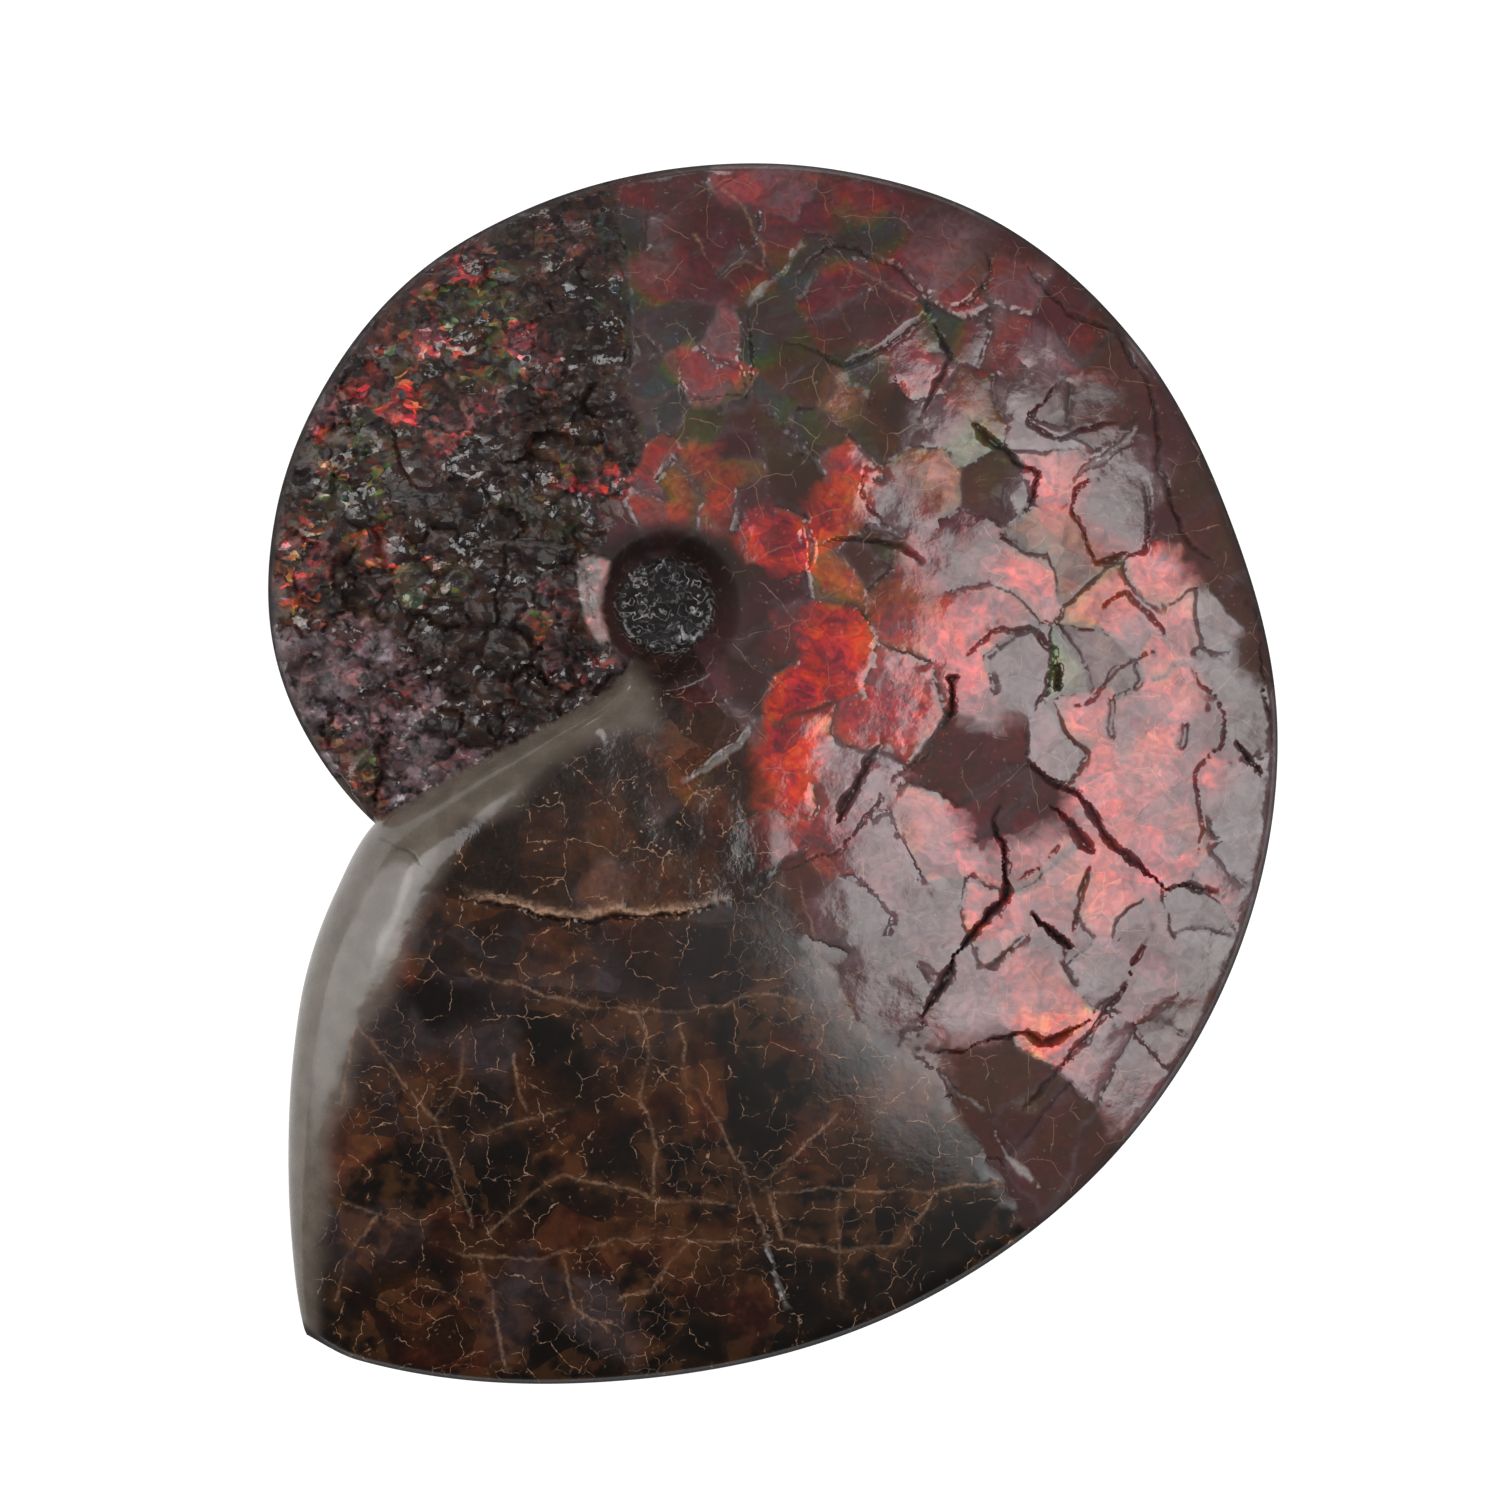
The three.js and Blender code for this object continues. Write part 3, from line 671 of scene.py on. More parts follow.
    def outline(self, spacing: float) -> np.ndarray:
        """The outline, counter-clockwise from the tip, with its two corners on it.

        Args:
            spacing: Distance from one point to the next.

        Returns:
            Points on the sheet.
        """
        angles = np.linspace(self.tip_angle, self.notch_angle, 4000)
        rim = self.rim(angles)
        radii = np.linspace(self.notch_radius, rim[0], 1000)[1:-1]
        edge_angles = self.mouth(radii)
        angle = np.radians(np.concatenate([angles, edge_angles]))
        radius = np.concatenate([rim, radii])
        dense = np.stack([radius * np.cos(angle), radius * np.sin(angle)], axis=1)
        pieces = (dense[: len(angles)], np.vstack([dense[len(angles) - 1 :], dense[:1]]))
        parts = []
        for piece in pieces:
            run = np.concatenate([[0], np.cumsum(length(np.diff(piece, axis=0)))])
            places = np.linspace(0, run[-1], max(2, round(run[-1] / spacing)) + 1)[:-1]
            parts.append(np.stack([np.interp(places, run, piece[:, k]) for k in (0, 1)], axis=1))
        return np.vstack(parts)


@dataclass(frozen=True)
class Picture:
    """Turns places in the picture into places on the sheet.

    Args:
        coil: The rule that gives the height at a place.
        mm_per_px: Size of a pixel at the middle plane.
        distance: From the camera to the middle plane, in millimetres.
    """

    coil: Coil
    mm_per_px: float
    distance: float

    def centre(self) -> np.ndarray:
        """The picture's middle on the sheet."""
        half = PICTURE_PX / 2
        return np.array([half - POLE_PX[0], POLE_PX[1] - half]) * self.mm_per_px

    def on_face(self, pixels: tuple[Pixel, ...]) -> np.ndarray:
        """Places on the face that the camera sees at those pixels."""
        flat = (np.array(pixels, float) - POLE_PX) * (self.mm_per_px, -self.mm_per_px)
        centre = self.centre()
        place = flat
        for _ in range(2):
            nearer = 1 - self.coil.height(place) / self.distance
            place = centre + (flat - centre) * nearer[:, None]
        return place


@dataclass(frozen=True)
class Chips:
    """Broken pieces that fill the sheet, one to each cell of a jittered grid."""

    size: float
    seed: int

    def at(self, points: np.ndarray) -> tuple[np.ndarray, np.ndarray, np.ndarray]:
        """What chip each point is on.

        Args:
            points: Places on the sheet.

        Returns:
            Three random numbers for the chip, the way from its middle, and how far its edge is.
        """
        scaled = points / self.size
        home = np.floor(scaled).astype(np.int64)
        nearest = np.full(len(points), np.inf)
        second = np.full(len(points), np.inf)
        chance = np.zeros((len(points), 3))
        offset = np.zeros((len(points), 2))
        for column in range(-2, 3):
            for row in range(-2, 3):
                cell = home + (column, row)
                jitter = [hashed(cell[:, 0], cell[:, 1], self.seed + k) for k in (1, 2)]
                gap = scaled - (cell + np.stack(jitter, axis=1))
                distance = length(gap)
                closer = distance < nearest
                second = np.where(closer, nearest, np.minimum(second, distance))
                nearest = np.where(closer, distance, nearest)
                offset = np.where(closer[:, None], gap, offset)
                random = [hashed(cell[:, 0], cell[:, 1], self.seed + k) for k in (3, 4, 5)]
                chance = np.where(closer[:, None], np.stack(random, axis=1), chance)
        return chance, offset * self.size, (second - nearest) * self.size / 2

    def relief(self, points: np.ndarray, tilt: float, step: float, gap: float) -> np.ndarray:
        """Height of tilted, stepped chips with grooves between them.

        Args:
            points: Places on the sheet.
            tilt: Steepest slope of a chip.
            step: How far chips stand over and under their neighbours.
            gap: Depth of the groove between chips.

        Returns:
            The height in millimetres.
        """
        chance, offset, edge = self.at(points)
        turn = chance[:, 0] * 2 * math.pi
        slope = tilt * (offset[:, 0] * np.cos(turn) + offset[:, 1] * np.sin(turn))
        groove = gap * (1 - soft_step(0, 0.16 * self.size, edge))
        return slope + step * (2 * chance[:, 1] - 1) - groove


Marks = dict[str, np.ndarray]


def keep_larger(marks: Marks, **others: np.ndarray) -> None:
    """Raises the named marks wherever the other values are larger."""
    for name, values in others.items():
        marks[name] = np.maximum(marks[name], values)


@dataclass
class Face:
    """All that is known about places on one side: relief, colour and finish.

    Sizes and blends are millimetres, and the inner turn starts that many degrees along the whorl.
    """

    coil: Coil
    picture: Picture
    side: Side
    plate_warp: float = 1.1
    plate_tilt: float = 0.04
    plate_step: float = 0.18
    plate_groove: float = 0.20
    plate_gap: float = 0.6
    plate_rounding: float = 0.20
    big_chip: float = 7.0
    small_chip: float = 2.5
    crushed_blend: float = 3.0
    stone_blend: float = 6.0
    chamber_blend: float = 5.0
    ledge_blend: float = 2.5
    inner_turn: float = 300.0
    pit_edge: tuple[float, float] = (9.0, 11.5)
    wall_foot: tuple[float, float] = (9.5, 12.0)
    wall_top: tuple[float, float] = (14.5, 18.5)
    quiet_edge: tuple[float, float] = (0.4, 4.0)
    seeds: np.ndarray = field(init=False)
    tones: np.ndarray = field(init=False)

    def __post_init__(self) -> None:
        """Places the plates' middles on the sheet."""
        places = [pixel for group in PLATES.values() for pixel in group]
        tones = [tone.value for tone, group in PLATES.items() for _ in group]
        self.seeds = self.picture.on_face(tuple(places))
        self.tones = np.array(tones)

    def zone_of(self, points: np.ndarray, border: tuple[Pixel, ...], blend: float) -> np.ndarray:
        """1 inside a border of the picture and 0 outside it, with a soft edge."""
        return zone(points, self.picture.on_face(border), blend)

    def plates(self, points: np.ndarray) -> tuple[np.ndarray, np.ndarray, np.ndarray]:
        """Which plate each point is on, its next neighbour, and how far their border is."""
        nearest = np.full(len(points), np.inf)
        second = np.full(len(points), np.inf)
        index = np.zeros(len(points), int)
        other = np.zeros(len(points), int)
        numbers = np.arange(len(self.seeds))
        spread = 1.6 * (hashed(numbers, numbers, 17) - 0.5)
        for number, seed in enumerate(self.seeds):
            distance = length(points - seed) + spread[number]
            closer = distance < nearest
            between = ~closer & (distance < second)
            second = np.where(closer, nearest, np.where(between, distance, second))
            other = np.where(closer, index, np.where(between, number, other))
            nearest = np.where(closer, distance, nearest)
            index = np.where(closer, number, index)
        return index, other, (second - nearest) / 2

    def parts(self, points: np.ndarray) -> Marks:
        """How far each place belongs to each part of the fossil, from 0 to 1."""
        ragged = wandering(points, 5.0, 0.8, 5)
        under = self.coil.under_wins(points) | (self.coil.along(points) > self.inner_turn)
        crushed = self.zone_of(ragged, CRUSHED_BORDER, self.crushed_blend) * under
        bowed = wandering(points, 9.0, 1.2, 9)
        stone = self.zone_of(bowed, STONE_BORDER, self.stone_blend) * ~under
        bowed = wandering(points, 12.0, 1.0, 7)
        chamber = self.zone_of(bowed, CHAMBER_BORDER, self.chamber_blend) * ~under * (1 - stone)
        ledge = self.zone_of(ragged, LEDGE_BORDER, self.ledge_blend) * chamber
        if self.side is Side.BACK:
            crushed = crushed * 0
            chamber = np.maximum(chamber, soft_step(-0.3, 0.3, rough(points, 60, 77)))
        hole = length(points - self.coil.pit_centre)
        return {
            "crushed": crushed, "stone": stone, "chamber": chamber, "ledge": ledge,
            "plated": (1 - crushed) * (1 - stone) * (1 - chamber),
            "pit": 1 - soft_step(*self.pit_edge, hole),
            "wall": soft_step(*self.wall_foot, hole) * (1 - soft_step(*self.wall_top, hole)),
        }

    def plate_marks(self, points: np.ndarray) -> Marks:
        """Relief and colour of the plates of shell between the cracks."""
        moved = wandering(wandering(points, 9.0, self.plate_warp, 21), 2.2, 0.30, 31)
        index, other, edge = self.plates(moved)
        pair = hashed(np.minimum(index, other), np.maximum(index, other), 23)
        cracked = soft_step(0.50, 0.60, pair)
        deep = soft_step(0.72, 0.95, pair)
        blend = 0.5 * (1 - soft_step(0, 1, edge / (3.0 - 2.8 * cracked)))
        tone = (1 - blend) * self.tones[index].T + blend * self.tones[other].T
        hue, glow, grey, matt = tone
        steps = [2 * hashed(plate, plate, 42) - 1 for plate in (index, other)]
        step = self.plate_step * ((1 - blend) * steps[0] + blend * steps[1])
        turn = hashed(index, index, 40) * 2 * math.pi
        away = points - self.seeds[index]
        slant = away[:, 0] * np.cos(turn) + away[:, 1] * np.sin(turn)
        slope = self.plate_tilt * hashed(index, index, 41) * slant * cracked
        hue = hue + 0.010 * np.clip(slant, -6, 6) * soft_step(0, 2, edge)
        hue = hue + 0.14 * (1 - soft_step(0.3, 2.6, edge)) * cracked * (glow > 0.3)
        band = (1 - soft_step(0.1, 0.7 + 1.3 * deep, edge)) * cracked
        swell = 0.20 * rough(points, 13, 71, 2) + 0.05 * rough(points, 3.4, 72, 2)
        groove = (1 - soft_step(0, self.plate_gap * (0.3 + 0.7 * deep), edge)) * cracked
        relief = np.clip(slope, -0.5, 0.5) + step + swell
        relief -= self.plate_groove * (0.3 + 0.7 * deep) * groove
        rounding = self.plate_rounding * (0.35 + 0.65 * deep) * cracked
        relief -= rounding * np.exp(-((edge / 1.6) ** 2))
        return {
            "relief": relief, "hue": hue, "grey": grey, "matt": matt, "band": band,
            "glow": glow * (0.75 + 0.5 * hashed(index, index, 43)) * (1 - 0.7 * band),
            "groove": groove, "deep": deep,
            "detail": cracked * (1 - soft_step(0.35, 0.95, edge)),
        }

    def chip_marks(self, points: np.ndarray) -> Marks:
        """Relief and colour of the chips in the crushed part."""
        big = Chips(self.big_chip, 101)
        small = Chips(self.small_chip, 131)
        bent = wandering(points, 3.5, 1.1, 51)
        calm = soft_step(-0.4, 0.7, rough(points, 22, 83, 2) + (points[:, 1] - 25) / 30)
        patchy = soft_step(-0.3, 0.5, rough(points, 8, 85, 2))
        relief = big.relief(bent, 0.20, 0.60, 0.70) * (1 - 0.6 * calm)
        relief += small.relief(bent, 0.34, 0.18, 0.25) * (1 - 0.7 * calm) * patchy
        relief += 0.28 * rough(points, 3.6, 87, 3) * (1 - 0.5 * calm)
        chance, _, edge = small.at(bent)
        big_chance, big_offset, _ = big.at(bent)
        patch = self.plates(bent - 0.7 * big_offset)[0]
        hue, glow, grey, _ = self.tones[patch].T
        chosen = 0.35 * chance[:, 0] + 0.35 * big_chance[:, 2] + 0.3
        lit = soft_step(0.42, 0.80, chosen + 0.22 * rough(points, 3.0, 89, 2))
        return {
            "relief": relief + 0.3, "hue": hue + 0.22 * (chance[:, 1] - 0.5),
            "glow": glow * (0.35 + 0.45 * lit), "grey": grey * (0.5 + 0.8 * lit),
            "crevices": (1 - soft_step(0, 0.35, edge)) * patchy * (1 - 0.6 * calm),
        }

    def read(self, points: np.ndarray) -> Marks:
        """Relief, colour and finish at places on the sheet.

        Args:
            points: Places on the sheet.

        Returns:
            One array for each name: relief in millimetres, and shares from 0 to 1.
        """
        part, plate, chip = self.parts(points), self.plate_marks(points), self.chip_marks(points)
        crushed, chamber, stone = part["crushed"], part["chamber"], part["stone"]
        plated, pit, wall = part["plated"], part["pit"], part["wall"]
        rim = self.coil.rim(self.coil.along(points)) - length(points)
        quiet_rim = soft_step(*self.quiet_edge, rim)

        ledge_relief = 0.07 * rough(points, 6.5, 91, 4)
        chamber_relief = 0.05 * rough(points, 14, 95, 2)
        chamber_relief = chamber_relief + part["ledge"] * (ledge_relief - chamber_relief)
        pit_relief = 0.50 * rough(points, 4.0, 161, 4) - 0.30 * np.abs(rough(points, 1.6, 165, 2))
        relief = plated * plate["relief"] + crushed * chip["relief"] + chamber * chamber_relief
        relief = relief * (1 - pit) * (1 - 0.6 * wall) + pit * pit_relief

        shell = {"hue": plate["hue"], "glow": plate["glow"]}
        shell["grey"] = plate["grey"] + 0.10 * plate["band"] * plated
        mixed = {name: own + crushed * (chip[name] - own) for name, own in shell.items()}
        groove = plate["groove"] * (1 - pit) * (1 - wall) * plated * (0.06 + 0.26 * plate["deep"])
        groove = np.maximum(groove, crushed * chip["crevices"] * 0.8)
        # Painted shadow: the upper side of the umbilicus wall is darkened through the groove mark
        shadow = wall * soft_step(-6, 9, points[:, 1])
        groove = np.maximum(groove, 0.75 * shadow)

        result = {
            "relief": relief, "hue": mixed["hue"], "groove": groove, "pit": pit, "wall": wall,
            "glow": mixed["glow"] * quiet_rim * (1 - pit) * (1 - 0.8 * wall),
            # Painted shade: a near-black band along the rim, wider on the stone; the band is also
            # rougher and without polish
            "rim_shade": 1 - soft_step(0.2 + 0.8 * stone, 1.6 + 1.6 * stone, rim),
            "crushed": crushed, "chamber": chamber, "stone": stone, "ledge": part["ledge"],
            "detail": 0.8 * plated * plate["detail"], "grey": mixed["grey"],
            "matt": plate["matt"] * plated,
        }
        result |= {name: np.zeros(len(points)) for name in ("pale", "tan", "halo")}
        if self.side is Side.FACE:
            self.cut_seams(points, result)
            self.draw_veins(points, result)
            self.lay_crescent(points, result)
        result["relief"] = result["relief"] * quiet_rim
        result["side"] = np.full(len(points), float(self.side.value))
        return result

    def lay_crescent(self, points: np.ndarray, result: Marks) -> None:
        """Adds the pale crescent beside the umbilicus to what was read."""
        crescent = self.zone_of(wandering(points, 3.0, 0.3, 61), CRESCENT_BORDER, 0.8)
        keep_larger(result, pale=0.85 * crescent, glow=0.7 * crescent)
        result["hue"] = result["hue"] + crescent * (0.10 - result["hue"])
        result["groove"] = result["groove"] * (1 - crescent)

    def cut_seams(self, points: np.ndarray, result: Marks) -> None:
        """Adds the cracks, ledges and their fillings to what was read."""
        bent = wandering(wandering(points, 7.0, 0.9, 111), 1.8, 0.28, 115)
        uneven = np.clip(1 + 0.75 * rough(points, 4.5, 121, 2), 0.2, 1.9)
        for seam in SEAMS.values():
            distance, left, passed = distance_to(bent, self.picture.on_face(seam.path))
            taper = soft_step(0, 0.25, passed) * soft_step(0, 0.25, 1 - passed)
            half = 0.36 * seam.width * (0.15 + 0.85 * taper) * uneven
            cut = 1 - soft_step(0.3, 1, distance / half)
            deep = np.clip(1 - distance / half, 0, 1) ** 0.8
            raised = np.exp(-((distance / 3.0) ** 2)) * (left > 0) * taper
            lip_place = (distance - half - 0.4) / 0.8
            lip = np.exp(-lip_place * lip_place) * (left > 0) * taper
            result["relief"] += seam.lip * (0.25 * lip + 0.6 * raised)
            result["relief"] -= seam.depth * 0.8 * deep * taper
            near = taper * (1 - soft_step(0.5, 1.4, distance - half))
            result["groove"] = result["groove"] * (1 - cut)
            keep_larger(result, detail=near, groove=cut * seam.dark)
            keep_larger(result, pale=cut * seam.pale, tan=lip * seam.tan)

    def draw_veins(self, points: np.ndarray, result: Marks) -> None:
        """Adds the flush veins of the body chamber to what was read."""
        bent = wandering(points, 5.0, 0.7, 141)
        strength = 0.55 + 0.45 * rough(points, 6, 151, 2)
        for vein in VEINS:
            distance = distance_to(bent, self.picture.on_face(vein))[0]
            line = (1 - soft_step(0.05, 0.45, distance)) * np.clip(strength, 0, 1)
            halo = (1 - soft_step(0.0, 4.5, distance)) * np.clip(strength + 0.3, 0, 1)
            near = 1 - soft_step(0.4, 1.0, distance)
            keep_larger(result, tan=line * 0.6, halo=halo, detail=near * 0.8)


@dataclass(frozen=True)
class Sheet:
    """A flat mesh of the outline, finer where the relief is finer.

    Args:
        coil: The rule that gives the outline.
        face: What the sheet carries.
        spacings: Distances between points, coarse to fine, in millimetres.
        rings: Distances of the rows beside the outline, in millimetres.
        survey: Distance between the places that are looked at to find how fine it must be.
    """

    coil: Coil
    face: Face
    spacings: tuple[float, ...]
    rings: tuple[float, ...] = (0.05, 0.2, 0.45, 0.85, 1.4, 2.1)
    survey: float = 0.6

    def wanted(self, points: np.ndarray) -> np.ndarray:
        """The fineness that each place needs, as a number of the spacing."""
        found = self.face.read(points)
        level = np.ones(len(points))
        if self.face.side is Side.BACK:
            return level
        detailed = (1 - found["chamber"]) * (1 - found["stone"])
        level = np.where(detailed > 0.05, 2.0, level)
        level = np.where(found["ledge"] > 0.3, 2.0, level)
        fine = (found["crushed"] > 0.1) | (found["groove"] > 0.25) | (found["tan"] > 0.2)
        fine |= (found["pale"] > 0.1) | (found["detail"] > 0.1)
        pit = length(points - self.coil.pit_centre) < self.coil.pit_reach
        crease = self.coil.under_wins(points) != self.coil.under_wins(points * 1.004)
        near_mouth = self.coil.mouth_share(points, self.coil.along(points)) < 0.98
        level = np.where(near_mouth, np.maximum(level, 2.0), level)
        level = np.where(fine | pit | crease, 3.0, level)
        return np.where(found["detail"] > 0.45, 4.0, level)

    def points(self, outline: np.ndarray) -> np.ndarray:
        """Points inside the outline, laid in rows at each place's own spacing."""
        low, high = outline.min(0), outline.max(0)
        closed = np.vstack([outline, outline[:1]])
        survey_x = np.arange(low[0], high[0], self.survey)
        survey_y = np.arange(low[1], high[1], self.survey)
        places = np.stack(np.meshgrid(survey_x, survey_y), axis=-1)
        surveyed = self.wanted(places.reshape(-1, 2)).reshape(places.shape[:2])
        kept = []
        for level, spacing in enumerate(self.spacings):
            rows = np.arange(low[1], high[1], spacing * math.sqrt(0.75))
            columns = np.arange(low[0], high[0], spacing)
            x, y = np.meshgrid(columns, rows)
            x = x + spacing / 2 * (np.arange(len(rows)) % 2)[:, None]
            grid = np.stack([x.ravel(), y.ravel()], axis=1)
            grid = grid[inside(grid, outline)]
            column, row = np.rint((grid - low) / self.survey).astype(int).T
            column = np.minimum(column, len(survey_x) - 1)
            row = np.minimum(row, len(survey_y) - 1)
            wanted = surveyed[row, column]
            last = level == len(self.spacings) - 1
            match = (wanted >= level) if last else (wanted.astype(int) == level)
            grid = grid[match]
            cell = np.floor(grid / spacing)
            jitter = [hashed(cell[:, 0], cell[:, 1], 200 + level + k) - 0.5 for k in (0, 7)]
            grid = grid + 0.22 * spacing * np.stack(jitter, axis=1)
            clear = distance_to(grid, closed)[0] > self.rings[-1] + 0.5 * spacing
            kept.append(grid[clear & inside(grid, outline)])
        return np.vstack(kept)

    def edge_rows(self, outline: np.ndarray) -> np.ndarray:
        """Rows of points beside the outline that carry the rim's rounding."""
        ahead = np.roll(outline, -1, axis=0) - np.roll(outline, 1, axis=0)
        inward = np.stack([-ahead[:, 1], ahead[:, 0]], axis=1)
        inward /= length(inward)[:, None]
        closed = np.vstack([outline, outline[:1]])
        rows = []
        for ring in self.rings:
            row = outline + inward * ring
            good = (distance_to(row, closed)[0] > 0.9 * ring) & inside(row, outline)
            rows.append(row[good])
        return np.vstack(rows)

    def triangles(self, outline: np.ndarray) -> tuple[np.ndarray, np.ndarray]:
        """Points and triangles of the sheet, with the outline's points first."""
        loose = np.vstack([self.edge_rows(outline), self.points(outline)])
        every = [Vector(p) for p in np.vstack([outline, loose])]
        loop = list(range(len(outline)))
        made = delaunay_2d_cdt(every, [], [loop], 1, 1e-6)
        places = np.array([tuple(v) for v in made[0]])
        faces = np.array(made[2])
        renumber = np.array([min(origins, default=-1) for origins in made[3]])
        rest = np.flatnonzero((renumber < 0) | (renumber >= len(outline)))
        renumber[rest] = np.arange(len(rest)) + len(outline)
        arranged = np.zeros((len(outline) + len(rest), 2))
        arranged[renumber] = places
        return arranged, renumber[faces]


def math_method(operation: str, turned: bool = False) -> Callable[[Wire, Wire | float], Wire]:
    """The method behind one of a wire's operators.

    Args:
        operation: What the Math node does.
        turned: Whether the wire is the second of the two values.

    Returns:
        A method that adds the Math node.
    """

    def method(self: Wire, other: Wire | float) -> Wire:
        """Adds the Math node."""
        first, second = (other, self) if turned else (self, other)
        return self.board.math(operation, first, second)

    return method


class Wire:
    """A node's output. Sums on wires add Math nodes."""

    __add__ = math_method("ADD")
    __radd__ = math_method("ADD", turned=True)
    __sub__ = math_method("SUBTRACT")
    __rsub__ = math_method("SUBTRACT", turned=True)
    __mul__ = math_method("MULTIPLY")
    __rmul__ = math_method("MULTIPLY", turned=True)
    __truediv__ = math_method("DIVIDE")
    __pow__ = math_method("POWER")
    at_least = math_method("MAXIMUM")
    at_most = math_method("MINIMUM")

    def __init__(self, board: Board, socket: bpy.types.NodeSocket) -> None:
        """Keeps the output and the tree that it is in."""
        self.board = board
        self.socket = socket

    def clipped(self) -> Wire:
        """Kept between 0 and 1."""
        return self.at_least(0.0).at_most(1.0)

    def rise(self, low: float, high: float) -> Wire:
        """A smooth rise from 0 at low to 1 at high, or a fall where low is the larger."""
        settings = {"interpolation_type": "SMOOTHSTEP"}
        sockets = {"Value": self, "From Min": low, "From Max": high}
        return self.board.wire("ShaderNodeMapRange", settings, sockets)


class Board:
    """A node tree, and the short ways to add to it. Sizes are millimetres."""

    def __init__(self, tree: bpy.types.NodeTree) -> None:
        """Starts on a tree."""
        self.tree = tree

    def node(
        self, kind: str, settings: dict[str, object] | None = None,
        sockets: dict[str | int, object] | None = None,
    ) -> bpy.types.Node:
        """Adds a node.

        Args:
            kind: The node's type.
            settings: Its own settings, made first.
            sockets: Values or wires for its inputs, by name or number.

        Returns:
            The node.
        """
        node = self.tree.nodes.new(kind)
        for name, value in (settings or {}).items():
            setattr(node, name, value)
        for name, value in (sockets or {}).items():
            if isinstance(value, Wire):
                self.tree.links.new(value.socket, node.inputs[name])
            else:
                node.inputs[name].default_value = value
        return node

    def wire(
        self, kind: str, settings: dict[str, object] | None = None,
        sockets: dict[str | int, object] | None = None, output: str | int = 0,
    ) -> Wire:
        """Adds a node and gives one of its outputs."""
        return Wire(self, self.node(kind, settings, sockets).outputs[output])

    def math(self, operation: str, first: Wire | float, second: Wire | float = 0.0) -> Wire:
        """Adds a Math node."""
        return self.wire("ShaderNodeMath", {"operation": operation}, {0: first, 1: second})

    def vector(
        self, operation: str, first: object, second: object = None, output: int | str = 0
    ) -> Wire:
        """Adds a Vector Math node."""
        sockets = {0: first} if second is None else {0: first, 1: second}
        return self.wire("ShaderNodeVectorMath", {"operation": operation}, sockets, output)

    def scaled(self, vector: Wire, factor: float) -> Wire:
        """A vector times a number."""
        sockets = {0: vector, "Scale": factor}
        return self.wire("ShaderNodeVectorMath", {"operation": "SCALE"}, sockets)

    def blend(self, share: Wire | float, first: object, second: object) -> Wire:
        """A colour between two colours."""
        sockets = {0: share, 6: first, 7: second}
        return self.wire("ShaderNodeMix", {"data_type": "RGBA"}, sockets, 2)

    def noise(self, place: Wire, size: float, detail: float = 2.0, output: str = "Fac") -> Wire:
        """Noise with lumps of about that size."""
        sockets = {"Vector": place, "Scale": 1 / size, "Detail": detail}
        return self.wire("ShaderNodeTexNoise", {}, sockets, output)

    def wobble(self, place: Wire, size: float) -> Wire:
        """A vector that wanders round zero, with lumps of about that size."""
        return self.vector("SUBTRACT", self.noise(place, size, 1.0, "Color"), (0.5, 0.5, 0.5))

    def cells(self, place: Wire, size: float, feature: str = "F1") -> bpy.types.Node:
        """Cells of that size in the plane."""
        settings = {"voronoi_dimensions": "2D", "feature": feature}
        return self.node("ShaderNodeTexVoronoi", settings, {"Vector": place, "Scale": 1 / size})

    def cell_edge(self, place: Wire, size: float) -> Wire:
        """Distance to the nearest edge between cells of that size."""
        return Wire(self, self.cells(place, size, "DISTANCE_TO_EDGE").outputs[0]) * size

    def chances(self, cells: bpy.types.Node) -> tuple[Wire, Wire, Wire]:
        """Three random numbers for each cell."""
        colour = Wire(self, cells.outputs["Color"])
        parts = self.node("ShaderNodeSeparateColor", {}, {0: colour})
        return tuple(Wire(self, output) for output in parts.outputs)

    def cell_chance(self, place: Wire, size: float) -> tuple[Wire, Wire, Wire]:
        """Three random numbers for each cell of that size."""
        return self.chances(self.cells(place, size))

    def facets(self, place: Wire, size: float) -> tuple[tuple[Wire, ...], Wire]:
        """Three random numbers for each tilted chip of that size, and its height."""
        cells = self.cells(place, size)
        offset = self.vector("SUBTRACT", place, Wire(self, cells.outputs["Position"]))
        level = self.vector("MULTIPLY", offset, (1.0, 1.0, 0.0))
        lean = self.vector("SUBTRACT", Wire(self, cells.outputs["Color"]), (0.5, 0.5, 0.5))
        return self.chances(cells), self.vector("DOT_PRODUCT", level, lean, "Value")

    def ramp(self, share: Wire, stops: tuple[tuple[float, tuple[float, ...]], ...]) -> Wire:
        """A colour read off a ramp."""
        node = self.node("ShaderNodeValToRGB", {}, {0: share})
        elements = node.color_ramp.elements
        while len(elements) < len(stops):
            elements.new(0.5)
        for element, (place, colour) in zip(elements, stops):
            element.position = place
            element.color = (*colour, 1.0)
        return Wire(self, node.outputs[0])


def rgb(red: float, green: float, blue: float) -> Colour:
    """A colour for a socket."""
    return (red, green, blue, 1.0)


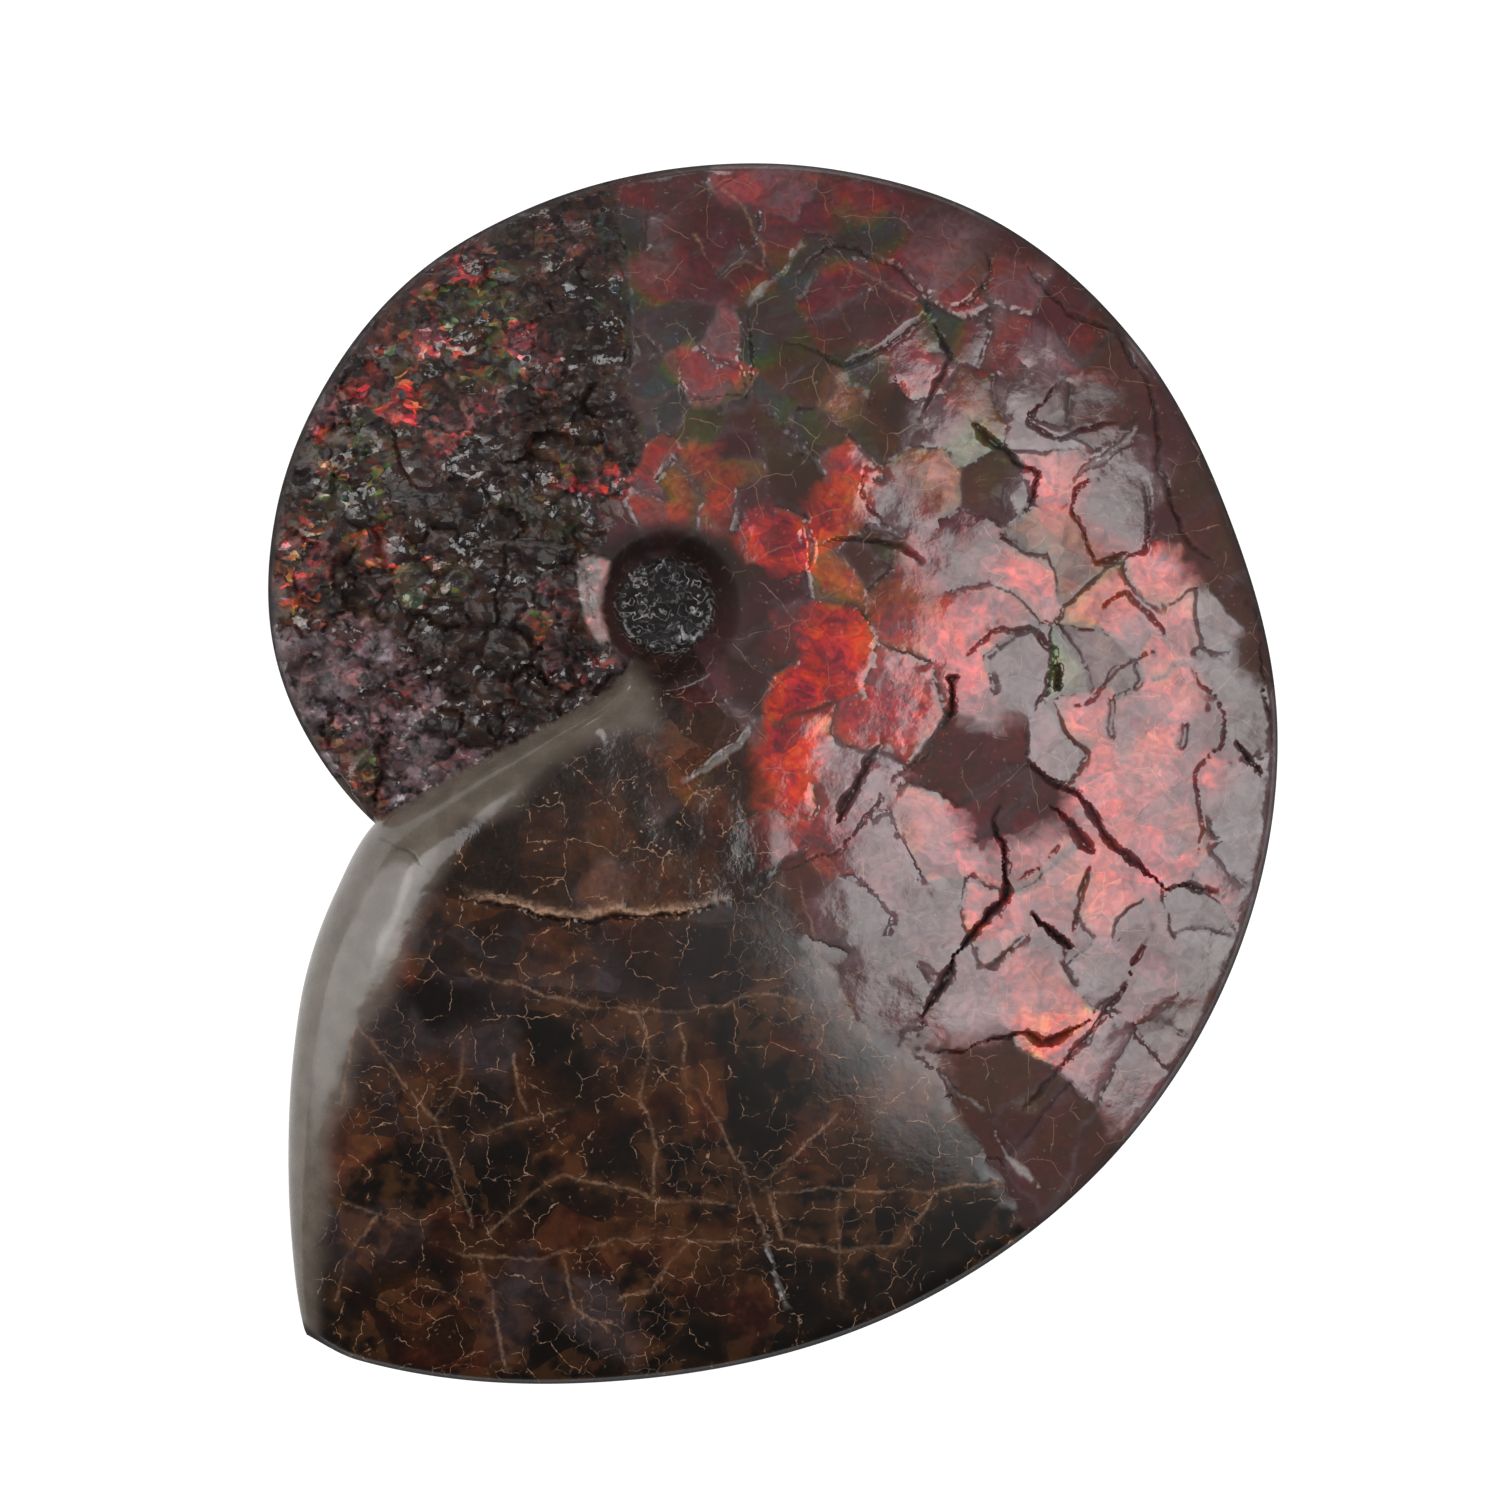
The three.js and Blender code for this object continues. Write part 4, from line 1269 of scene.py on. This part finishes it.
@dataclass
class Pattern:
    """The noise, cells and chips that all parts of the finish share. Sizes are millimetres."""

    board: Board
    stray_size: float = 4.0
    fold_size: float = 6.5
    grain_size: float = 1.8
    broad_size: float = 14.0
    middle_size: float = 4.5
    fine_size: float = 0.9
    dent_size: float = 2.2
    patch_size: float = 11.0
    small_patch_size: float = 4.6
    broken_size: float = 8.0
    chip_size: float = 3.0
    crumb_size: float = 1.2
    net_size: float = 10.0
    dust_size: float = 0.45
    found: dict[str, Wire] = field(default_factory=dict)

    def __post_init__(self) -> None:
        """Adds the nodes."""
        board = self.board
        metres = board.wire("ShaderNodeTexCoord", {}, {}, "Object")
        self.place = board.scaled(metres, 1 / METRES_PER_MM)
        self.stray = board.wobble(self.place, self.stray_size)
        self.ragged = self.strayed(2.4)
        self.whole = (1 - self.share("crushed")) * (1 - self.share("chamber"))
        self.whole = self.whole * (1 - self.share("stone"))
        self.shelly = (1 - self.share("chamber")) * (1 - self.share("stone"))

        flowing = self.strayed(7.0)
        self.folds = board.noise(flowing, self.fold_size, 3.0).rise(0.38, 0.62)
        self.grain = board.noise(flowing, self.grain_size, 3.0).rise(0.36, 0.64)
        self.broad = board.noise(self.place, self.broad_size, 2.0)
        self.middle = board.noise(self.place, self.middle_size, 3.0)
        self.fine = board.noise(self.place, self.fine_size, 2.0)
        self.dents = board.noise(self.place, self.dent_size, 3.0)

        squeezed = board.vector("MULTIPLY", self.strayed(1.3), (0.80, 1.15, 0.0))
        self.bright, self.tint, turn = board.cell_chance(squeezed, self.patch_size)
        small = board.cell_chance(squeezed, self.small_patch_size)
        self.small_bright, self.small_tint, self.small_turn = small
        rotated = board.wire(
            "ShaderNodeVectorRotate", {"rotation_type": "Z_AXIS"},
            {"Vector": self.place, "Angle": (turn + self.small_turn * 0.3) * 6.0},
        )
        self.streak = board.noise(board.vector("MULTIPLY", rotated, (0.55, 0.08, 0.0)), 1.0, 3.0)

        jagged = board.vector("MULTIPLY", self.strayed(3.4), (0.62, 1.0, 1.0))
        self.broken = board.noise(self.place, self.broken_size, 1.0).rise(0.46, 0.58)
        chip, self.chip_rise = board.facets(jagged, self.chip_size)
        crumb, self.crumb_rise = board.facets(jagged, self.crumb_size)
        chip_lit, self.chip_tint, self.chip_gloss = chip
        crumb_lit, self.crumb_tint, self.crumb_gloss = crumb
        lit = chip_lit * (0.75 - 0.3 * self.broken) + crumb_lit * (0.25 + 0.3 * self.broken)
        self.lit = lit.rise(0.50, 0.74)

        self.cells = board.cell_edge(self.ragged, self.net_size)
        dust = board.cell_chance(self.ragged, self.dust_size)[0].rise(0.95, 1.0)
        self.dust = dust * self.middle.rise(0.45, 0.60)

    def share(self, name: str) -> Wire:
        """A share that the mesh carries."""
        if name not in self.found:
            settings = {"attribute_name": name}
            self.found[name] = self.board.wire("ShaderNodeAttribute", settings, {}, "Fac")
        return self.found[name]

    def strayed(self, reach: float) -> Wire:
        """The place, moved a little, so that straight edges turn ragged."""
        return self.board.vector("ADD", self.place, self.board.scaled(self.stray, reach))


@dataclass(frozen=True)
class PolishedShell:
    """The finish of the whole fossil: iridescent shell, dark chamber and grey-brown stone."""

    play_of_colour: tuple[tuple[float, tuple[float, float, float]], ...] = (
        (0.00, (0.26, 0.022, 0.040)),
        (0.14, (0.52, 0.034, 0.048)),
        (0.24, (0.72, 0.046, 0.026)),
        (0.40, (0.55, 0.115, 0.025)),
        (0.60, (0.26, 0.190, 0.030)),
        (0.77, (0.07, 0.220, 0.030)),
        (1.00, (0.04, 0.120, 0.140)),
    )
    # Grey over the play of colour: partly the shell's own grey, partly painted haze of reflected
    # light
    grey_film_and_haze: Colour = rgb(0.215, 0.158, 0.178)
    maroon_dark: Colour = rgb(0.043, 0.014, 0.015)
    brown_dark: Colour = rgb(0.030, 0.016, 0.011)
    chamber_black: Colour = rgb(0.0042, 0.0026, 0.0018)
    chamber_amber: Colour = rgb(0.054, 0.021, 0.008)
    stone_dark: Colour = rgb(0.092, 0.074, 0.057)
    stone_light: Colour = rgb(0.130, 0.106, 0.084)
    vein_tan: Colour = rgb(0.34, 0.20, 0.13)
    vein_pale: Colour = rgb(0.46, 0.42, 0.40)
    # Black of crack fillings and of the umbilicus floor, also used for painted shade along the rim,
    # in the crushed chips' low spots and on the upper umbilicus wall
    black_fill_and_shade: Colour = rgb(0.008, 0.006, 0.006)
    grit_brown: Colour = rgb(0.037, 0.019, 0.011)
    polish_white: Colour = rgb(1.0, 1.0, 1.0)
    body_ior: float = 1.52
    body_specular: float = 0.20
    polish_roughness: float = 0.085
    polish_share: float = 0.055

    def make(self) -> bpy.types.Material:
        """Builds the material.

        Returns:
            The material, ready to be set on the shell.
        """
        material = bpy.data.materials.new("polished_shell")
        material.use_nodes = True
        material.node_tree.nodes.clear()
        board = Board(material.node_tree)
        pattern = Pattern(board)
        glow = self.glow(pattern)
        settings = {"Height": self.height(pattern), "Distance": METRES_PER_MM, "Strength": 1.0}
        bump = board.wire("ShaderNodeBump", {}, settings)
        body = board.wire("ShaderNodeBsdfPrincipled", {}, {
            "Base Color": self.colour(pattern, glow), "Roughness": self.roughness(pattern),
            "Metallic": (glow * pattern.shelly * 0.45).clipped(), "IOR": self.body_ior,
            "Normal": bump, "Specular IOR Level": self.body_specular,
        })
        polish = board.wire("ShaderNodeBsdfPrincipled", {}, {
            "Base Color": self.polish_white, "Roughness": self.polish_roughness,
            "Metallic": 1.0, "Normal": bump,
        })
        coat = self.coat(pattern) * self.polish_share
        surface = board.wire("ShaderNodeMixShader", {}, {0: coat, 1: body, 2: polish})
        board.node("ShaderNodeOutputMaterial", {}, {"Surface": surface})
        return material

    def glow(self, p: Pattern) -> Wire:
        """How strongly the play of colour shows, from 0 to 1."""
        lively = p.folds * 0.28 + p.streak.rise(0.32, 0.66) * 0.34 + 0.34
        lively = lively * (0.72 + 0.20 * p.fine.rise(0.30, 0.70) + 0.34 * p.grain)
        uneven = (p.bright - 0.5) * 0.8 + (p.small_bright - 0.5) * 0.5
        lively = lively * (1 + p.whole * uneven)
        fleck = p.lit * (0.45 + 2.2 * p.crumb_gloss.rise(0.35, 1.0))
        fleck = fleck + 0.30 * p.middle.rise(0.35, 0.65)
        lively = lively + p.share("crushed") * (fleck - lively)
        return (p.share("glow") * lively).clipped()

    def fire(self, p: Pattern) -> Wire:
        """The play of colour itself, from red over gold to green."""
        shift = (p.broad - 0.5) * 0.16 + (p.streak - 0.5) * 0.24 + (p.folds - 0.5) * 0.08
        shift = shift + (p.tint - 0.5) * 0.10 + (p.small_tint - 0.5) * 0.05
        hue = p.share("hue") + shift * p.whole * (0.30 + 1.3 * p.share("glow"))
        chip_shift = (p.chip_tint - 0.4) * 0.22 + (p.crumb_tint - 0.5) * 0.40
        hue = hue + chip_shift * p.share("crushed")
        hue = hue + (p.middle - 0.5) * 0.06 + (p.fine - 0.5) * 0.04
        return p.board.ramp(hue.clipped(), self.play_of_colour)

    def film(self, p: Pattern) -> Wire:
        """How much grey lies over the play of colour, from 0 to 1, partly the shell's own grey and
        partly painted haze of reflected light.
        """
        dim = (0.4 * p.small_turn + 0.5 * (1 - p.folds)) * p.whole
        film = p.share("grey") * (0.25 + 0.7 * p.tint + dim)
        film = film * (0.5 + 0.6 * p.streak + 0.4 * p.grain)
        # In the crushed part the grey is raised on the lit chips, a painted sheen on the lumps
        return (film * (1 + p.share("crushed") * (p.lit * 1.2 - 0.25))).clipped()

    def shell(self, p: Pattern, glow: Wire, fire: Wire, film: Wire) -> Wire:
        """Colour of the shell, whole and crushed, with painted shade in the crushed chips' low
        spots.
        """
        blend, crushed = p.board.blend, p.share("crushed")
        dark = blend(p.broad.rise(0.35, 0.65), self.maroon_dark, self.brown_dark)
        grit = blend(p.middle.rise(0.40, 0.66), self.black_fill_and_shade, self.grit_brown)
        colour = blend(glow, blend(crushed * 0.75, dark, grit), fire)
        colour = blend(film, colour, self.grey_film_and_haze)
        # Painted shade: black blotches in the low spots of the crushed part's dents
        colour = blend(crushed * p.dents.rise(0.50, 0.34) * 0.85, colour, self.black_fill_and_shade)
        hair = p.cells.rise(0.13, 0.03) * p.middle.rise(0.42, 0.56)
        colour = blend(hair * p.whole * 0.40, colour, self.vein_tan)
        return blend(p.dust * p.whole * 0.14, colour, self.vein_pale)

    def chamber(self, p: Pattern, glow: Wire, fire: Wire, film: Wire) -> Wire:
        """Colour of the body chamber: black to amber, under a net of tan veins."""
        blend, ledge = p.board.blend, p.share("ledge")
        halo = p.share("halo") * p.middle.rise(0.35, 0.60)
        rusty, smoky, netted = p.board.cell_chance(p.ragged, p.net_size)
        near_net = p.cells.rise(2.2, 0.2) * p.broad.rise(0.40, 0.62)
        patchy = rusty.rise(0.50, 0.80) * p.middle.rise(0.40, 0.60)
        amber = halo * 0.66 + near_net * 0.40 * p.middle + patchy * 0.60 + ledge * 0.24 * p.fine
        inner = blend(amber.clipped(), self.chamber_black, self.chamber_amber)

        torn = p.board.scaled(p.board.wobble(p.place, 1.6), 1.6)
        torn = p.board.vector("ADD", p.ragged, torn)
        wide_net = p.board.cell_edge(torn, 8.0).rise(0.13, 0.03) * p.middle.rise(0.44, 0.56)
        close_net = p.board.cell_edge(torn, 3.4).rise(0.10, 0.03) * netted.rise(0.50, 0.62)
        close_net = close_net * p.middle.rise(0.56, 0.44)
        specks = p.dust * p.broad.rise(0.42, 0.58) * 1.4
        net = (wide_net * 0.85).at_least(close_net * 0.45).at_least(specks * (0.3 + ledge))
        inner = blend(net.clipped() * p.fine.rise(0.30, 0.60), inner, self.vein_tan)
        inner = blend(glow * (0.25 + rusty), inner, fire)
        return blend(film * (0.2 + smoky), inner, self.grey_film_and_haze)

    def colour(self, p: Pattern, glow: Wire) -> Wire:
        """Colour of every part, with its cracks, veins and umbilicus, and painted highlight streaks
        on the umbilicus floor.
        """
        blend, pit = p.board.blend, p.share("pit")
        fire, film = self.fire(p), self.film(p)
        colour = self.shell(p, glow, fire, film)
        colour = blend(p.share("chamber"), colour, self.chamber(p, glow, fire, film))
        matrix = blend(p.middle.rise(0.3, 0.7), self.stone_dark, self.stone_light)
        colour = blend(p.share("stone"), colour, matrix)
        tan = p.share("tan") * (0.35 + 0.65 * p.fine.rise(0.35, 0.60))
        colour = blend(tan, colour, self.vein_tan)
        # Crack bottoms darken; the groove mark also carries painted shadow on the upper umbilicus
        # wall and under the chamber ledge
        colour = blend(p.share("groove") * 0.93, colour, self.black_fill_and_shade)
        colour = blend(p.share("pale") * (0.25 + 0.60 * p.fine), colour, self.vein_pale)
        # The umbilicus floor is black; the band along the rim is painted shade in the same black
        colour = blend(pit.at_least(p.share("rim_shade") * 0.9), colour, self.black_fill_and_shade)
        # Painted highlight: pale swirling streaks on the black umbilicus floor
        pit_glint_swirl = p.board.math("SINE", p.middle * 50.0).rise(0.6, 1.0) * (0.2 + 0.8 * p.folds)
        return blend(pit_glint_swirl * pit * (0.2 + 0.7 * p.grain), colour, self.vein_pale)

    def roughness(self, p: Pattern) -> Wire:
        """Roughness under the polish."""
        base = 0.30 + 0.15 * p.share("crushed") - 0.08 * p.share("stone")
        return base + 0.10 * p.fine + 0.5 * p.share("rim_shade") + 0.25 * p.share("matt")

    def coat(self, p: Pattern) -> Wire:
        """How clear the polish is, from 0 to about 1."""
        stone = p.share("stone")
        gloss = (p.chip_gloss * 0.7 + p.crumb_gloss * 0.3) * (0.8 + 0.2 * p.broken)
        dull = gloss.rise(0.72, 0.60) * p.share("crushed")
        cloudy = p.whole * (0.20 * (1 - p.folds) + 0.12 * (1 - p.grain) + 0.26 * p.small_tint)
        coat = 1 - 0.70 * p.share("groove") - 0.45 * stone - 0.85 * dull - p.share("rim_shade")
        coat = coat - 0.95 * p.share("matt") - 0.5 * p.share("wall") - cloudy
        coat = coat - 0.40 * p.share("chamber") * (1 - stone)
        return coat.clipped() + p.share("pit") * (p.middle.rise(0.54, 0.44) - 0.5)

    def height(self, p: Pattern) -> Wire:
        """Fine relief of the surface, in millimetres."""
        crushed, ledge = p.share("crushed"), p.share("ledge")
        height = (p.dents - 0.5) * (0.02 + 0.05 * p.whole + 0.24 * crushed + 0.06 * ledge)
        height = height + p.whole * 0.06 * p.bright
        height = height + p.chip_rise * (0.50 * crushed + 0.35 * p.share("pit"))
        height = height + p.crumb_rise * (0.08 + 0.34 * p.broken) * crushed
        depth = 0.004 + 0.012 * p.whole + 0.08 * crushed + 0.02 * ledge
        return height + (p.fine - 0.5) * depth + (p.broad - 0.5) * 0.16 * p.shelly


@dataclass(frozen=True)
class Ammonite:
    """The fossil: its flat sheets, and the tree that lifts them to the coil's form."""

    coil: Coil
    picture: Picture
    foot: Vector
    outline_spacing: float = 1.1
    face_spacings: tuple[float, ...] = (4.0, 2.3, 1.3, 0.74, 0.45)
    back_spacings: tuple[float, ...] = (4.0, 3.0)
    back_relief: float = 0.6
    crease_slope: float = 34.0
    tree_sizes: tuple[str, ...] = (
        "half_thickness", "thinning", "ground", "thinnest", "venter_half", "rim_round",
        "shoulder", "crest", "shoulder_drop", "flank_power",
    )

    def flat(self) -> bpy.types.Object:
        """Both sheets in one flat mesh, sharing their outline, with what they carry.

        Returns:
            The flat object, in millimetres round the pole.
        """
        outline = self.coil.outline(self.outline_spacing)
        points, faces, carried = [], [], []
        start = 0
        for side, spacings in ((Side.FACE, self.face_spacings), (Side.BACK, self.back_spacings)):
            face = Face(self.coil, self.picture, side)
            places, corners = Sheet(self.coil, face, spacings).triangles(outline)
            if side is Side.BACK:
                corners = np.where(corners < len(outline), corners, corners + start)[:, ::-1]
                places = places[len(outline):]
            points.append(places)
            faces.append(corners)
            carried.append(face.read(places))
            start = len(places) - len(outline)
        every = np.vstack(points)
        read = {name: np.concatenate([part[name] for part in carried]) for name in carried[0]}
        read["side"][: len(outline)] = 0
        along = self.coil.along(every)
        read["turns"] = (along - self.coil.tip_angle) / 360
        read["rim"] = self.coil.rim(along)
        read["under_rim"] = self.coil.rim(along + 360)
        read["mouth_share"] = self.coil.mouth_share(every, along)

        mesh = bpy.data.meshes.new("flat_sheets")
        deep = np.zeros((len(every), 1))
        mesh.from_pydata(np.hstack([every, deep]).tolist(), [], np.vstack(faces).tolist())
        for name, values in read.items():
            attribute = mesh.attributes.new(name, "FLOAT", "POINT")
            attribute.data.foreach_set("value", values.astype(np.float32))
        mesh.update()
        flat = bpy.data.objects.new("flat_sheets", mesh)
        bpy.context.scene.collection.objects.link(flat)
        LOG.info("flat sheets: %d points, %d triangles", len(every), len(mesh.polygons))
        return flat

    def umbilicus(self, board: Board, position: Wire) -> Wire:
        """Height of the umbilicus's floor and wall, which is out of the way round it.

        Args:
            board: The tree.
            position: A place on the flat sheets.

        Returns:
            The height over the middle plane in millimetres.
        """
        coil = self.coil
        middle = board.vector("SUBTRACT", position, (*coil.pit_centre, 0.0))
        out = board.vector("LENGTH", middle, output=1)
        wall = board.node("ShaderNodeFloatCurve", {}, {"Value": out / coil.pit_reach})
        curve = wall.mapping.curves[0]
        corners = [(x / coil.pit_reach, z / coil.pit_top) for x, z in coil.pit_wall]
        while len(curve.points) < len(corners):
            curve.points.new(0.5, 0.5)
        for point, corner in zip(curve.points, corners):
            point.location = corner
        wall.mapping.update()
        beyond = (out - coil.pit_reach).at_least(0.0) * coil.pit_leave
        return Wire(board, wall.outputs[0]) * coil.pit_top + beyond

    def lifting_tree(self, material: bpy.types.Material) -> tuple[bpy.types.NodeTree, dict]:
        """The Geometry Nodes tree that gives the sheets the coil's form.

        Args:
            material: What the shell is finished with.

        Returns:
            The tree, and the value of each named input.
        """
        tree = bpy.data.node_groups.new("whorl_form", "GeometryNodeTree")
        board = Board(tree)
        tree.interface.new_socket("Sheets", in_out="INPUT", socket_type="NodeSocketGeometry")
        tree.interface.new_socket("Shell", in_out="OUTPUT", socket_type="NodeSocketGeometry")
        sizes = {name: getattr(self.coil, name) for name in self.tree_sizes}
        sizes["relief"] = 1.0
        for name in sizes:
            tree.interface.new_socket(name, in_out="INPUT", socket_type="NodeSocketFloat")
        entry = board.node("NodeGroupInput")

        def size(name: str) -> Wire:
            """One of the tree's inputs."""
            return Wire(board, entry.outputs[name])

        def carried(name: str) -> Wire:
            """A number that the sheets carry."""
            return board.wire(
                "GeometryNodeInputNamedAttribute", {"data_type": "FLOAT"}, {"Name": name}
            )

        position = board.wire("GeometryNodeInputPosition")
        radius = board.vector("LENGTH", position, output=1)
        turns = carried("turns")

        def rounded(share: Wire) -> Wire:
            """A quarter circle, from 0 at the edge to 1."""
            out = 1 - share.clipped()
            return board.math("SQRT", 1 - out * out)

        def whorl(turned: Wire, rim: Wire) -> Wire:
            """Height of one whorl's flank over the middle plane."""
            crest = size("half_thickness") * size("thinning") ** turned
            share = ((radius - size("shoulder")) / (rim - size("shoulder"))).clipped()
            inward = (size("crest") - share).at_least(0.0) / size("crest")
            outward = (share - size("crest")).at_least(0.0) / (1 - size("crest"))
            fall = size("shoulder_drop") * inward * inward
            fall = fall + (1 - size("venter_half") / crest) * outward ** size("flank_power")
            return crest * (1 - fall) * rounded((rim - radius) / size("rim_round"))

        newest = whorl(turns, carried("rim")) * rounded(carried("mouth_share"))
        older = whorl(turns + 1.0, carried("under_rim"))
        sockets = {0: newest.at_least(older), 1: self.umbilicus(board, position)}
        sockets[2] = self.coil.pit_blend
        form = board.wire("ShaderNodeMath", {"operation": "SMOOTH_MIN"}, sockets)

        side = carried("side")
        relief = carried("relief") * size("relief")
        above = side.at_least(0.0)
        below = (side * -1.0).at_least(0.0)
        high = (form + relief).at_least(size("thinnest"))
        low = form + relief * self.back_relief
        low = low.at_least(size("thinnest")).at_most(size("ground"))
        height = high * above - low * below
        upward = board.wire("ShaderNodeCombineXYZ", {}, {2: height})
        lifted = board.vector("ADD", position, upward)
        placed = board.vector("ADD", board.scaled(lifted, METRES_PER_MM), tuple(self.foot))

        moved = board.wire("GeometryNodeSetPosition", {}, {
            "Geometry": Wire(board, entry.outputs["Sheets"]), "Position": placed,
        })
        real = board.wire("GeometryNodeRealizeInstances", {}, {0: moved})
        dressed = board.node("GeometryNodeSetMaterial", {}, {"Geometry": real})
        dressed.inputs["Material"].default_value = material
        leave = board.node("NodeGroupOutput")
        tree.links.new(dressed.outputs[0], leave.inputs[0])
        return tree, sizes

    def build(self, finish: PolishedShell) -> bpy.types.Object:
        """Makes the fossil as one plain mesh.

        Args:
            finish: The finish of the shell.

        Returns:
            The finished object, at the origin.
        """
        flat = self.flat()
        tree, sizes = self.lifting_tree(finish.make())
        lift = flat.modifiers.new("whorl_form", "NODES")
        lift.node_group = tree
        for item in tree.interface.items_tree:
            if item.in_out == "INPUT" and item.name in sizes:
                lift[item.identifier] = sizes[item.name]
        graph = bpy.context.evaluated_depsgraph_get()
        mesh = bpy.data.meshes.new_from_object(flat.evaluated_get(graph))
        mesh.name = "ammonite_shell"
        shell = bpy.data.objects.new("ammonite_shell", mesh)
        bpy.context.scene.collection.objects.link(shell)
        flat_mesh = flat.data
        bpy.data.objects.remove(flat)
        bpy.data.meshes.remove(flat_mesh)
        mesh.set_sharp_from_angle(angle=math.radians(self.crease_slope))
        return shell


@dataclass(frozen=True)
class Softbox:
    """One soft light. Its place and sizes are metres, its power is watts."""

    name: str
    place: tuple[float, float, float]
    width: float
    height: float
    power: float


@dataclass(frozen=True)
class Studio:
    """The pale floor, the soft lights and the camera that looks straight down."""

    middle: Vector
    plane: float
    distance: float
    softboxes: tuple[Softbox, ...] = (
        Softbox("right_softbox", (0.58, -0.03, 1.06), 1.38, 1.04, 12.0),
        Softbox("left_softbox", (-1.10, 0.06, 0.44), 0.80, 1.20, 5.8),
        Softbox("left_fill", (-0.72, 0.18, 0.94), 0.74, 0.72, 4.7),
        Softbox("far_glint", (-0.35, 1.15, 0.50), 0.60, 0.30, 1.4),
    )
    layers: tuple[float, ...] = (1.0, 0.92, 0.82)
    layer_gap: float = 0.004
    floor_reach: float = 12.0
    floor_grey: Colour = rgb(0.30, 0.30, 0.30)
    floor_glow: float = 0.90
    surround: float = 0.038
    white: Colour = rgb(1.0, 1.0, 1.0)

    def build(self) -> None:
        """Makes everything round the fossil."""
        self.floor()
        self.world()
        for softbox in self.softboxes:
            self.light(softbox)
        self.camera()

    def floor(self) -> None:
        """A plain pale floor under the fossil."""
        mesh = bpy.data.meshes.new("floor")
        signs = ((-1, -1), (1, -1), (1, 1), (-1, 1))
        corners = [(x * self.floor_reach, y * self.floor_reach, 0) for x, y in signs]
        mesh.from_pydata(corners, [], [(0, 1, 2, 3)])
        floor = bpy.data.objects.new("floor", mesh)
        bpy.context.scene.collection.objects.link(floor)
        material = bpy.data.materials.new("pale_floor")
        material.use_nodes = True
        material.node_tree.nodes.clear()
        board = Board(material.node_tree)
        shader = board.wire("ShaderNodeBsdfPrincipled", {}, {
            "Base Color": self.floor_grey, "Roughness": 0.8, "Specular IOR Level": 0.1,
            "Emission Color": self.white, "Emission Strength": self.floor_glow,
        })
        board.node("ShaderNodeOutputMaterial", {}, {"Surface": shader})
        mesh.materials.append(material)

    def world(self) -> None:
        """A dim even surround."""
        world = bpy.data.worlds.new("studio")
        world.use_nodes = True
        background = world.node_tree.nodes["Background"]
        background.inputs["Color"].default_value = self.white
        background.inputs["Strength"].default_value = self.surround
        bpy.context.scene.world = world
        bpy.context.scene.view_settings.view_transform = "Standard"

    def light(self, softbox: Softbox) -> None:
        """A soft light that points at the fossil, brighter towards its middle."""
        place = Vector(softbox.place)
        aim = self.middle - place
        for layer, share in enumerate(self.layers):
            light = bpy.data.lights.new(f"{softbox.name}_{layer}", "AREA")
            light.shape = "ELLIPSE" if softbox.width > 0.5 * softbox.height else "RECTANGLE"
            light.size = softbox.width * share
            light.size_y = softbox.height * share
            light.energy = softbox.power * share**2 / sum(part**2 for part in self.layers)
            lamp = bpy.data.objects.new(light.name, light)
            lamp.location = place + self.layer_gap * layer * aim.normalized()
            lamp.rotation_euler = aim.to_track_quat("-Z", "Y").to_euler()
            bpy.context.scene.collection.objects.link(lamp)

    def camera(self) -> None:
        """The camera straight over the picture's middle."""
        data = bpy.data.cameras.new("camera")
        data.lens = LENS_MM
        data.sensor_width = SENSOR_MM
        data.clip_start = 0.01
        camera = bpy.data.objects.new("camera", data)
        camera.location = (self.middle.x, self.middle.y, self.plane + self.distance)
        bpy.context.scene.collection.objects.link(camera)
        bpy.context.scene.camera = camera


def main() -> None:
    """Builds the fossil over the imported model, and the studio round it."""
    logging.basicConfig(level=logging.INFO, format="%(message)s")
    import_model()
    low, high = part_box(NODE)

    coil = Coil()
    outline = coil.outline(spacing=0.5)
    span = outline.max(0) - outline.min(0)
    mm_per_px = span[1] / LENGTH_PX
    distance = PICTURE_PX * mm_per_px * LENS_MM / SENSOR_MM
    picture = Picture(coil, mm_per_px, distance)
    box_middle = (low + high) / 2
    outline_middle = Vector((*(outline.max(0) + outline.min(0)) / 2, 0.0)) * METRES_PER_MM
    foot = Vector((box_middle.x, box_middle.y, low.z + coil.ground * METRES_PER_MM))
    foot = foot - outline_middle

    fossil = Ammonite(coil, picture, foot)
    shell = fossil.build(PolishedShell())
    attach(shell, BODY)
    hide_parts(NODE)
    LOG.info("%s: %d triangles", shell.name, len(shell.data.polygons))

    centre = Vector((*picture.centre(), 0.0)) * METRES_PER_MM + foot
    Studio(centre, foot.z, distance * METRES_PER_MM).build()


if __name__ == "__main__":
    main()
